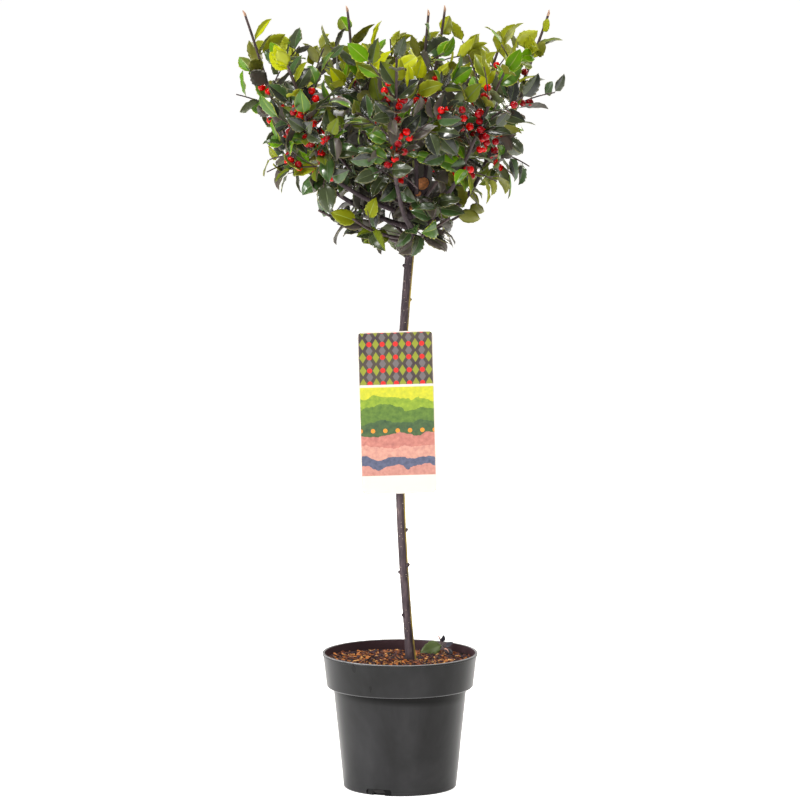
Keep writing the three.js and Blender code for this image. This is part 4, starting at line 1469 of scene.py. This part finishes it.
def trunk_mesh():
    n = WOOD.sides
    normal = unit(SAW_CUT.normal)
    through = trunk_point(SAW_CUT.z)
    turn = turns_of(n)
    outward = np.stack([np.cos(turn), np.sin(turn), np.zeros(n)], 1)
    # Each side's height at the slanted cut, step by step because the trunk leans and swells.
    top_z = np.full(n, float(SAW_CUT.z))
    for _ in range(SAW_CUT.steps):
        places = trunk_point(top_z) + outward * trunk_radius(top_z)[:, None]
        top_z -= (places - through) @ normal / normal[2] * SAW_CUT.pace
    z = TRUNK.foot_z + np.linspace(0, 1, WOOD.rows)[:, None] * (top_z - TRUNK.foot_z)
    head = np.clip((z - WOOD.knobs_from) / WOOD.knobs_over, 0, 1)
    relief = WOOD.relief * trunk_relief(z, turn) + WOOD.knobs * head * knobs(z, turn)
    places = trunk_point(z) + outward * (trunk_radius(z) + relief)[..., None]
    wood.add(places.reshape(-1, 3), grid_faces(WOOD.rows, n, closed=True))
    # The sawn face: a thin rim of bark, and rings of wood that dip to its middle.
    rim = places[-1]
    centre = rim.mean(axis=0)
    inner, heart = (centre + (rim - centre) * share + normal * dip for share, dip in SAWN_RINGS)
    points = np.concatenate([rim, inner, heart, [centre + normal * SAWN_MIDDLE]])
    ring = grid_faces(2, n, closed=True)
    j = np.arange(n)
    middle = np.stack([2 * n + j, 2 * n + (j + 1) % n, np.full(n, 3 * n)], 1)
    wood.add(points, ring)
    wood.add(points, np.concatenate([ring + n, middle]), 1)


def bough_mesh(bough, seed):
    """A bough that swells into the trunk, with relief on its bark."""
    t = np.linspace(0, 1, WOOD.bough_rows)
    places = bough.line.points(bough.line.at_length(t))
    s = t * bough.length
    beyond = np.maximum(0, s - float(trunk_radius(places[0][2])))
    relief = relief_noise(seed, 8, 0.1, 1.1)
    radii = bough.radius(t) + WOOD.collar * np.exp(-beyond / WOOD.collar_length)

    def bark(k, turns):
        return WOOD.bough_relief * relief(s[k], turns)

    wood.add(*swept(places, radii, WOOD.bough_sides, bark))


def wood_stub(start, end, base, tip, cut, rows=8, sides=10):
    """A short stub of wood, whose end shows the cut."""
    t = np.linspace(0, 1, rows)
    points, faces = swept(start + (end - start) * t[:, None], base + (tip - base) * t, sides)
    finish = np.zeros(len(faces), int)
    finish[-sides:] = cut
    wood.add(points, faces, finish)


def on_trunk(z, azimuth_deg, out):
    """A place on the trunk's bark, or out from it, and the way out there."""
    azimuth = math.radians(azimuth_deg)
    outward = np.array([math.cos(azimuth), math.sin(azimuth), 0])
    return trunk_point(z) + outward * (float(trunk_radius(z)) + out), outward


trunk_mesh()
for k, bough in enumerate(all_boughs):
    bough_mesh(bough, 500 + k)

# Stubs of old side shoots: height, azimuth, length, radius, and which cut shows.
STUBS = [
    (727, 262, 1.5, 5.4, 1), (709, 244, 4, 4.6, 1), (316, 350, 2.4, 2.2, 0),
    (273, 330, 2.6, 2.4, 0), (264, 195, 2.2, 2, 0), (211, 215, 2.4, 2.2, 0),
    (392, 160, 2, 2, 0), (598, 25, 2.2, 2, 0), (640, 200, 2.4, 2.2, 0), (455, 60, 2, 2, 0),
    (345, 100, 2.2, 2.2, 0), (236, 60, 2.2, 2, 0), (560, 130, 2, 2, 0),
]
STUB = Named(rise=0.45, foot=0.9, tip=0.72)
for z, azimuth_deg, length, radius, cut in STUBS:
    foot, outward = on_trunk(z, azimuth_deg, -radius)
    end = foot + unit(outward + UP * STUB.rise) * (radius + length)
    wood_stub(foot, end, radius + STUB.foot, radius * STUB.tip, cut)

# Two short dry twigs below the head: start height, azimuth, length and rise.
for z, azimuth_deg, length, rise in ((664, 340, 24, 0.75), (657, 190, 10, 0.5)):
    foot, outward = on_trunk(z, azimuth_deg, -2)
    wood_stub(foot, foot + unit(outward + UP * rise) * length, 1.5, 0.8, 0, 6, 7)

wood.piece(
    "bark_and_boughs",
    [bark_material(), cut_material("sawn_wood", srgb(208, 134, 76), srgb(150, 92, 54))],
    "bark",
    ["trunk"] + [
        f"{name}_bough_{index + 1}"
        for name, boughs in boughs_of.items() for index in range(len(boughs))
    ],
)

LENTICEL = Named(
    count=260, over_foot=6, out=(-0.15, 0.1), widths=(0.45, 1), heights=(0.3, 0.55), depth=0.35
)
lenticels = Bundle()
draw = seeded_random(83)
dot_points, dot_faces, _ = ball(8, 5)
for _ in range(LENTICEL.count):
    z = between(draw, TRUNK.foot_z + LENTICEL.over_foot, TRUNK.head_z)
    place, outward = on_trunk(z, between(draw, 0, 360), between(draw, *LENTICEL.out))
    wide, tall = between(draw, *LENTICEL.widths), between(draw, *LENTICEL.heights)
    local = dot_points * (wide, tall, LENTICEL.depth)
    lenticels.add(place + local @ [np.cross(UP, outward), UP, outward], dot_faces)
lenticels.piece("lenticels", [plain_material("lenticel", srgb(150, 134, 116), 0.85)], "bark")

# ---------------------------------------------------------------- the pot


def rounded(profile, radii, steps=4):
    """A profile whose corners are rounded by the given radii."""
    profile = np.array(profile, float)
    out = [profile[0]]
    for before, corner, after, radius in zip(profile, profile[1:], profile[2:], radii):
        back, ahead = before - corner, after - corner
        reach = min(radius, 0.45 * np.linalg.norm(back), 0.45 * np.linalg.norm(ahead))
        a, b = corner + unit(back) * reach, corner + unit(ahead) * reach
        for t in np.arange(steps + 1) / steps:
            out.append(a * (1 - t) ** 2 + corner * 2 * t * (1 - t) + b * t**2)
    return [*out, profile[-1]]


def drain_cutter(width, tall, inner, angle):
    """A block bent round the foot of the wall from an inner radius outwards, its top rounded."""
    corner = min(DRAIN.corner, tall * DRAIN.corner_share)
    outer, steps = POT.foot_radius + DRAIN.past, DRAIN.steps
    points = []
    for y in np.linspace(-width / 2, width / 2, steps + 1):
        past = max(0, abs(y) - width / 2 + corner)
        top = tall - corner + math.sqrt(max(0, corner**2 - past**2))
        turn = angle + y / POT.foot_radius
        points += [
            (radius * math.cos(turn), radius * math.sin(turn), z)
            for radius, z in ((inner, -tall), (outer, -tall), (outer, top), (inner, top))
        ]
    faces = [
        (k + 4 + i, k + 4 + (i + 1) % 4, k + (i + 1) % 4, k + i)
        for k in range(0, 4 * steps, 4) for i in range(4)
    ]
    last = 4 * steps
    faces += [(0, 1, 2, 3), (last + 3, last + 2, last + 1, last)]
    return placed("cutter", mesh_of("cutter", points, faces))


def pot_piece():
    edge, height, wall = POT.edge, POT.height, POT.wall
    rim, foot, lip_z = POT.rim_radius, POT.foot_radius, POT.height - POT.lip_height
    collar, body, under_lip = POT.collar_foot_radius, POT.body_top_radius, rim - POT.lip_depth
    # Each corner with the radius of its rounding.
    corners = [
        (foot - edge, 0, 0.8), (foot, edge, 0.8), (body, COLLAR_Z, 1),
        (collar - edge, COLLAR_Z, 0.6), (collar, COLLAR_Z + edge, 0.6), (under_lip, lip_z, 0.5),
        (rim, lip_z, 0.4), (rim, height, 0.7), (under_lip - wall, height, 0.7),
        (collar - wall, COLLAR_Z + wall, 0.6), (body - wall, COLLAR_Z + wall, 0.6),
        (foot - wall, POT.floor, 0.6),
    ]
    profile = [(0, 0), *(corner[:2] for corner in corners), (0, POT.floor)]
    points, faces = lathe(rounded(profile, [radius for *_, radius in corners]), POT.segments)
    shell = placed("pot_shell", mesh_of("pot_shell", points, faces))
    cutters = []
    for i in range(DRAIN.count):
        angle = math.radians(DRAIN.first_angle + 360 / DRAIN.count * i)
        cutters.append(drain_cutter(DRAIN.width, DRAIN.height, foot - DRAIN.recess, angle))
        cutters.append(drain_cutter(DRAIN.hole_width, DRAIN.hole_height, foot - 3 * wall, angle))
    for cutter in cutters:
        modifier = shell.modifiers.new("drain", "BOOLEAN")
        modifier.operation, modifier.solver, modifier.object = "DIFFERENCE", "EXACT", cutter
    evaluated = shell.evaluated_get(bpy.context.evaluated_depsgraph_get())
    mesh = bpy.data.meshes.new_from_object(evaluated)
    mesh.name = "nursery_pot"
    for one in (shell, *cutters):
        bpy.data.objects.remove(one)
    mesh.materials.clear()
    mesh.materials.append(pot_material())
    mesh.polygons.foreach_set("material_index", np.zeros(len(mesh.polygons), np.int32))
    mesh.shade_smooth()
    mesh.set_sharp_from_angle(angle=math.radians(POT.crease_deg))
    finish_piece("nursery_pot", mesh, ["pot"])


pot_piece()

# ---------------------------------------------------------------- the potting mix

# The mix's edge, where it meets the collar's wall.
MIX_EDGE = POT.collar_foot_radius - POT.wall - GAP + (
    (MIX.edge_z - COLLAR_Z) / POT.collar_height
    * (POT.rim_radius - POT.lip_depth - POT.collar_foot_radius)
)


def mix_height(x, y):
    """The mix's surface, which lies a little higher to the left and the right than at the back."""
    radius = np.hypot(x, y)
    level = np.interp(
        radius, [0, MIX.crest_radius, MIX.shoulder_radius, MIX.edge_radius],
        [MIX.crest_z, MIX.crest_z, MIX.shoulder_z, MIX.edge_z],
    )
    bank = MIX.bank * np.clip((radius - MIX.bank_from) / MIX.bank_over, 0, 1)
    return level + bank * (x / (MIX.bank_from + MIX.bank_over)) ** 2


def bed_piece():
    ledge = COLLAR_Z + POT.wall + GAP
    profile = [(0, POT.floor + GAP), (POT.foot_radius - POT.wall - GAP, POT.floor + GAP)]
    walls = POT.body_top_radius, POT.collar_foot_radius
    profile += [(radius - POT.wall - GAP, ledge) for radius in walls]
    radii = MIX_EDGE * np.linspace(1, 0.02, MIX.rings)
    profile += [(radius, mix_height(0, radius)) for radius in radii]
    points, faces = lathe([*profile, (0, MIX.crest_z)], MIX.segments)
    x, y, z = points.T
    surface, radius = z > MIX.edge_z - MIX.lump_room, np.hypot(x, y)
    relief = relief_noise(91, 16, 0.2, 1.4)
    lumps = MIX.lumps * (relief(x * 1.1, y * 0.35) + relief(y, x * 0.4)) - MIX.lump_sink
    lumps[radius >= MIX_EDGE - MIX.lump_room] = 0
    points[:, 2] += np.where(surface, lumps + mix_height(x, y) - mix_height(0, radius), 0)
    bed = Bundle()
    bed.add(points, faces)
    bed.piece("potting_mix_bed", [soil_material()], "potting_mix", ["potting_mix"])


CHIP = Named(
    count=2600, lengths=(1.2, 4.4), widths=(0.7, 1.7), heights=(0.5, 1.2), uneven=0.35,
    small_every=3, small=0.6, tilt=0.5, sink=0.4, stand=1.3, edge_room=3.4, trunk_room=8,
)
CHIP_TONES = [0, 0, 0, 0, 4, 4, 4, 1, 1, 1, 2, 2, 3, 3, 5]  # how often each of the six tones comes
CHIP_COLORS = dict(
    dark=srgb(34, 20, 24), umber=srgb(76, 40, 26), russet=srgb(120, 62, 28),
    amber=srgb(176, 106, 46), plum=srgb(58, 32, 40), straw=srgb(204, 150, 84),
)


def chips_piece():
    chips = Bundle()
    draw = seeded_random(97)
    corners = np.array([(x, y, z) for x in (-1, 1) for y in (-1, 1) for z in (-1, 1)], float)
    faces = np.array([
        (0, 1, 3), (0, 3, 2), (4, 6, 7), (4, 7, 5), (0, 4, 5), (0, 5, 1), (2, 3, 7), (2, 7, 6),
        (0, 2, 6), (0, 6, 4), (1, 5, 7), (1, 7, 3),
    ])
    trunk = trunk_point(TRUNK.foot_z)[:2]
    for k in range(CHIP.count):
        distance = (MIX_EDGE - CHIP.edge_room) * math.sqrt(draw())
        angle = between(draw, 0, 2 * math.pi)
        x, y = distance * math.cos(angle), distance * math.sin(angle)
        if math.dist((x, y), trunk) < CHIP.trunk_room:
            continue
        limits = CHIP.lengths, CHIP.widths, CHIP.heights
        size = np.array([between(draw, low, high) for low, high in limits])
        if k % CHIP.small_every == 0:
            size *= CHIP.small
        uneven = np.array([[draw() - 0.5 for _ in range(3)] for _ in corners])
        local = corners * size * (1 + CHIP.uneven * uneven)
        turns = between(draw, 0, 6.28), around(draw, CHIP.tilt), around(draw, CHIP.tilt)
        yaw, tilt, roll = (Matrix.Rotation(turn, 3, axis) for turn, axis in zip(turns, "ZYX"))
        place = np.array([x, y, mix_height(x, y) + between(draw, -CHIP.sink, CHIP.stand)])
        local = local @ np.array(yaw @ tilt @ roll).T
        chips.add(place + local, faces, pick(draw, CHIP_TONES))
    materials = [plain_material("chip_" + name, CHIP_COLORS[name], 0.9) for name in CHIP_COLORS]
    chips.piece("bark_chips", materials, "potting_mix", smooth=False)


bed_piece()
chips_piece()

# A sprig that has fallen on the mix: its stem, a side stem, and its leaves.
sprig = Bundle()
stem = Bezier((57, 43, 156), (53, 46, 167), (46, 48, 180))
side = Bezier((54, 45, 162), (58, 42, 164), (60, 41, 158))
for line, start, end, first, last, rows, finish in (
    (stem, 0, 0.82, 1.3, 0.9, 8, 0), (stem, 0.8, 1, 1, 0.5, 4, 1), (side, 0, 1, 0.9, 0.6, 6, 1)
):
    places, radii = line.points(np.linspace(start, end, rows)), np.linspace(first, last, rows)
    sprig.add(*swept(places, radii, 7), finish)
FALLEN = [  # root, direction, upper face, length
    ((53, 46, 167), (-1, -0.05, -0.32), (0.1, -0.9, 0.45), 30),
    ((55, 45, 165), (0.9, -0.3, 0.5), (0.2, -0.6, 0.8), 13),
    ((56, 44, 162), (0.8, -0.2, -0.6), (0.3, -0.8, 0.5), 12),
    ((52, 46, 170), (0.2, -0.2, 1), (0.3, -0.8, 0.3), 10),
]
fallen = [
    Leaf(np.array(root), unit(np.array(way)), np.array(facing), length)
    for root, way, facing, length in FALLEN
]
fallen_looks = np.array([[0.3, 0.35, 0.4, 0.1, 0.01, 0, 0, 0.08]] * len(fallen))
*_, leaf_faces, leaf_finish = TEMPLATE
for k, leaf_points in enumerate(blades(fallen, fallen_looks)):
    sprig.add(leaf_points, leaf_faces, np.where(leaf_finish == FINISH_BACK, 3, 4 if k else 2))
sprig_materials = [
    young_bark,
    plain_material("pink_stem", srgb(190, 140, 122), 0.6),
    plain_material("fallen_leaf", srgb(70, 86, 32), 0.45),
    plain_material("fallen_leaf_back", srgb(92, 98, 60), 0.6),
    plain_material("fallen_leaf_dark", srgb(44, 44, 54), 0.4),
]
sprig.piece("fallen_sprig", sprig_materials, "foliage")

# ---------------------------------------------------------------- the label

loop_centre = trunk_point(LABEL.loop_z)
loop_inner = float(trunk_radius(LABEL.loop_z)) + LABEL.loop_room
loop_outer = loop_inner + LABEL.loop_wall
LABEL_BACK_Y = float(loop_centre[1]) - loop_outer + LABEL.loop_wall / 2
CARD_COLOR = srgb(198, 190, 182)

# The lower panel's bands, from the top: the height of the upper edge, the light and the dark tone.
BANDS = [
    (99, (196, 188, 40), (150, 160, 44)), (18, (140, 160, 44), (92, 122, 34)),
    (6, (96, 122, 44), (54, 84, 34)), (-12, (70, 94, 52), (40, 62, 42)),
    (-27, (186, 122, 108), (140, 84, 80)), (-42, (196, 148, 130), (160, 110, 100)),
    (-55, (88, 92, 114), (56, 62, 84)), (-67, (186, 132, 118), (150, 100, 92)),
]

# The print, measured from the card's middle: panels, and the lattice's cells, lozenges and discs.
PRINT = Named(
    half_width=44.6, upper=(34.5, 98), lower=(-77, 31.5), pitch=16, lozenge=4.2, narrow=0.62,
    disc=9.5, uneven=34, dot=7, dot_pitch=15, dots_z=-22,
)


def label_material():
    """Panels with a ground of their own, discs and lozenges in rows, on a white card."""
    graph = Graph("printed_card", CARD_COLOR, 0.38, specular=0.4)
    # Millimetres from the card's middle, along and across it as it leans.
    centre = (-LABEL.centre_x * MM, 0, -LABEL.centre_z * MM)
    middle = graph.node("Mapping", {0: graph.at("Object"), "Location": centre})
    lean = (0, math.radians(LABEL.lean_deg), 0)
    x, y, z = graph.xyz(
        graph.node("Mapping", {0: middle, "Rotation": lean, "Scale": (1 / MM, 1 / MM, 1 / MM)})
    )

    def cell(value, pitch, shift):
        return ((value + shift) / pitch).apply("FRACT") * pitch - pitch / 2

    front, pitch = y < LABEL_BACK_Y - LABEL.thickness / 2, PRINT.pitch
    wide = x.within(-PRINT.half_width, PRINT.half_width)
    top, panel = wide * z.within(*PRINT.upper), wide * z.within(*PRINT.lower)
    ground = graph.ramp(graph.noise(30, 3), (0.3, srgb(50, 38, 50)), (0.7, srgb(74, 66, 52)))
    prints = [(top, ground)]
    # A lattice of lozenges, olive and grey by turns, with a red disc between them.
    for shift, tint in ((0, srgb(126, 132, 36)), (pitch / 2, srgb(96, 90, 92))):
        across, up = cell(x, pitch, shift), cell(z, pitch, pitch / 4 + shift)
        prints.append((top * (abs(across) + abs(up) * PRINT.narrow < PRINT.lozenge), tint))
    disc = cell(x, pitch, pitch / 2) ** 2 + cell(z, pitch, pitch / 4) ** 2 < PRINT.disc
    prints.append((top * disc, srgb(196, 34, 26)))
    # Mottled bands with uneven edges below it, and a row of dots.
    level = z + (graph.noise(26, 4) - 0.5) * PRINT.uneven
    mottle = graph.range(graph.noise(190, 4), -0.5, 1.5)
    for high, light, dark in BANDS:
        prints.append((panel * (level < high), graph.mix(mottle, srgb(*light), srgb(*dark))))
    dots = cell(x, PRINT.dot_pitch, PRINT.dot_pitch / 2) ** 2 + (z - PRINT.dots_z) ** 2 < PRINT.dot
    prints.append((wide * dots, srgb(206, 128, 36)))
    color = CARD_COLOR
    for mask, tint in prints:
        color = graph.mix(mask * front, color, tint)
    graph.finish(color=color, roughness=graph.range(graph.noise(60, 3), 0.3, 0.46))
    graph.bump(graph.noise(700, 2), 0.05, 0.0001)
    return graph.material


def card_ring(inset, depth, steps=6):
    """The card's rounded outline, at an inset and a depth from its back."""
    radius = LABEL.corner_radius - inset
    x, z = LABEL.width / 2 - inset - radius, LABEL.height / 2 - inset - radius
    return [
        (side_x * x + radius * math.cos(turn), -depth, side_z * z + radius * math.sin(turn))
        for side_x, side_z, start in ((1, -1, -90), (1, 1, 0), (-1, 1, 90), (-1, -1, 180))
        for turn in np.radians(np.linspace(start, start + 90, steps + 1))
    ]


def card_piece():
    thick, edge = LABEL.thickness, 0.22
    rings = [
        card_ring(inset, depth)
        for inset, depth in ((edge, 0), (0, edge), (0, thick - edge), (edge, thick))
    ]
    points, faces = capped(rings, (0, 0, 0), (0, -thick, 0))
    points = points @ np.array(Matrix.Rotation(math.radians(LABEL.lean_deg), 3, "Y"))
    card = Bundle()
    card.add(points + (LABEL.centre_x, LABEL_BACK_Y, LABEL.centre_z), faces)
    card.piece("hang_card", [label_material()], "label", ["hang_label"], smooth=False)


def loop_piece():
    low, high = LABEL.loop_z - LABEL.loop_height / 2, LABEL.loop_z + LABEL.loop_height / 2
    soft, rings = 0.35, 48
    section = [
        (loop_inner, low + soft), (loop_inner + soft, low), (loop_outer - soft, low),
        (loop_outer, low + soft), (loop_outer, high - soft), (loop_outer - soft, high),
        (loop_inner + soft, high), (loop_inner, high - soft),
    ]
    points = [
        (loop_centre[0] + r * math.cos(turn), loop_centre[1] + r * math.sin(turn), z)
        for turn in turns_of(rings) for r, z in section
    ]
    faces = grid_faces(rings + 1, len(section), closed=True)[:, ::-1] % len(points)
    loop = Bundle()
    loop.add(points, faces)
    loop.piece("label_loop", [plain_material("loop_card", srgb(232, 229, 222), 0.45)], "label")


card_piece()
loop_piece()

# ---------------------------------------------------------------- floor, light and camera


def floor():
    """A wide white disc."""
    graph = Graph("floor", (0.9, 0.9, 0.9, 1), 0.9, glow=0.66, glow_color=WHITE)
    corners, radius = 96, 60_000
    points = [(radius * math.cos(turn), radius * math.sin(turn), 0) for turn in turns_of(corners)]
    mesh = mesh_of("floor", points, [range(corners)])
    mesh.materials.append(graph.material)
    one = placed("floor", mesh)


floor()

world = bpy.data.worlds.new("studio")
world.use_nodes = True
background = next(one for one in world.node_tree.nodes if one.type == "BACKGROUND")
background.inputs["Color"].default_value = (1.0, 0.97, 0.93, 1)
background.inputs["Strength"].default_value = 0.4
bpy.context.scene.world = world


def area_light(name, place, target, size, power, color, spread_deg=180):
    light = bpy.data.lights.new(name, "AREA")
    light.shape = "DISK"
    light.size, light.energy, light.color = size, power, color
    light.spread = math.radians(spread_deg)
    one = placed(name, light)
    one.location = place
    one.rotation_euler = (Vector(target) - Vector(place)).to_track_quat("-Z", "Y").to_euler()


area_light("key", (-1.6, -2.6, 3.6), (0, 0, 0.7), 0.7, 116, (1, 0.98, 0.95))
area_light("rim", (2.4, 2.2, 2.6), (0, 0, 0.75), 1.0, 115, (1, 0.97, 0.9))
area_light("top", (0.1, 0.7, 3.4), (0, 0, 0.8), 1.6, 72, (1, 0.99, 0.96))
# A low strip for the left of the pot and the trunk, which hardly reaches the crown.
area_light("low_left", (-2.6, -1.5, 0.3), (0, 0, 0.12), 0.9, 5.2, (1, 1, 1), 32)

camera = bpy.data.cameras.new("camera")
camera.lens, camera.sensor_width, camera.clip_end = 270, 36, 200
eye = placed("camera", camera)
eye.location = (0, -7.2266, 1.4384)
eye.rotation_euler = (math.radians(82.42), 0, 0)
bpy.context.scene.camera = eye
bpy.context.scene.view_settings.view_transform = "Standard"
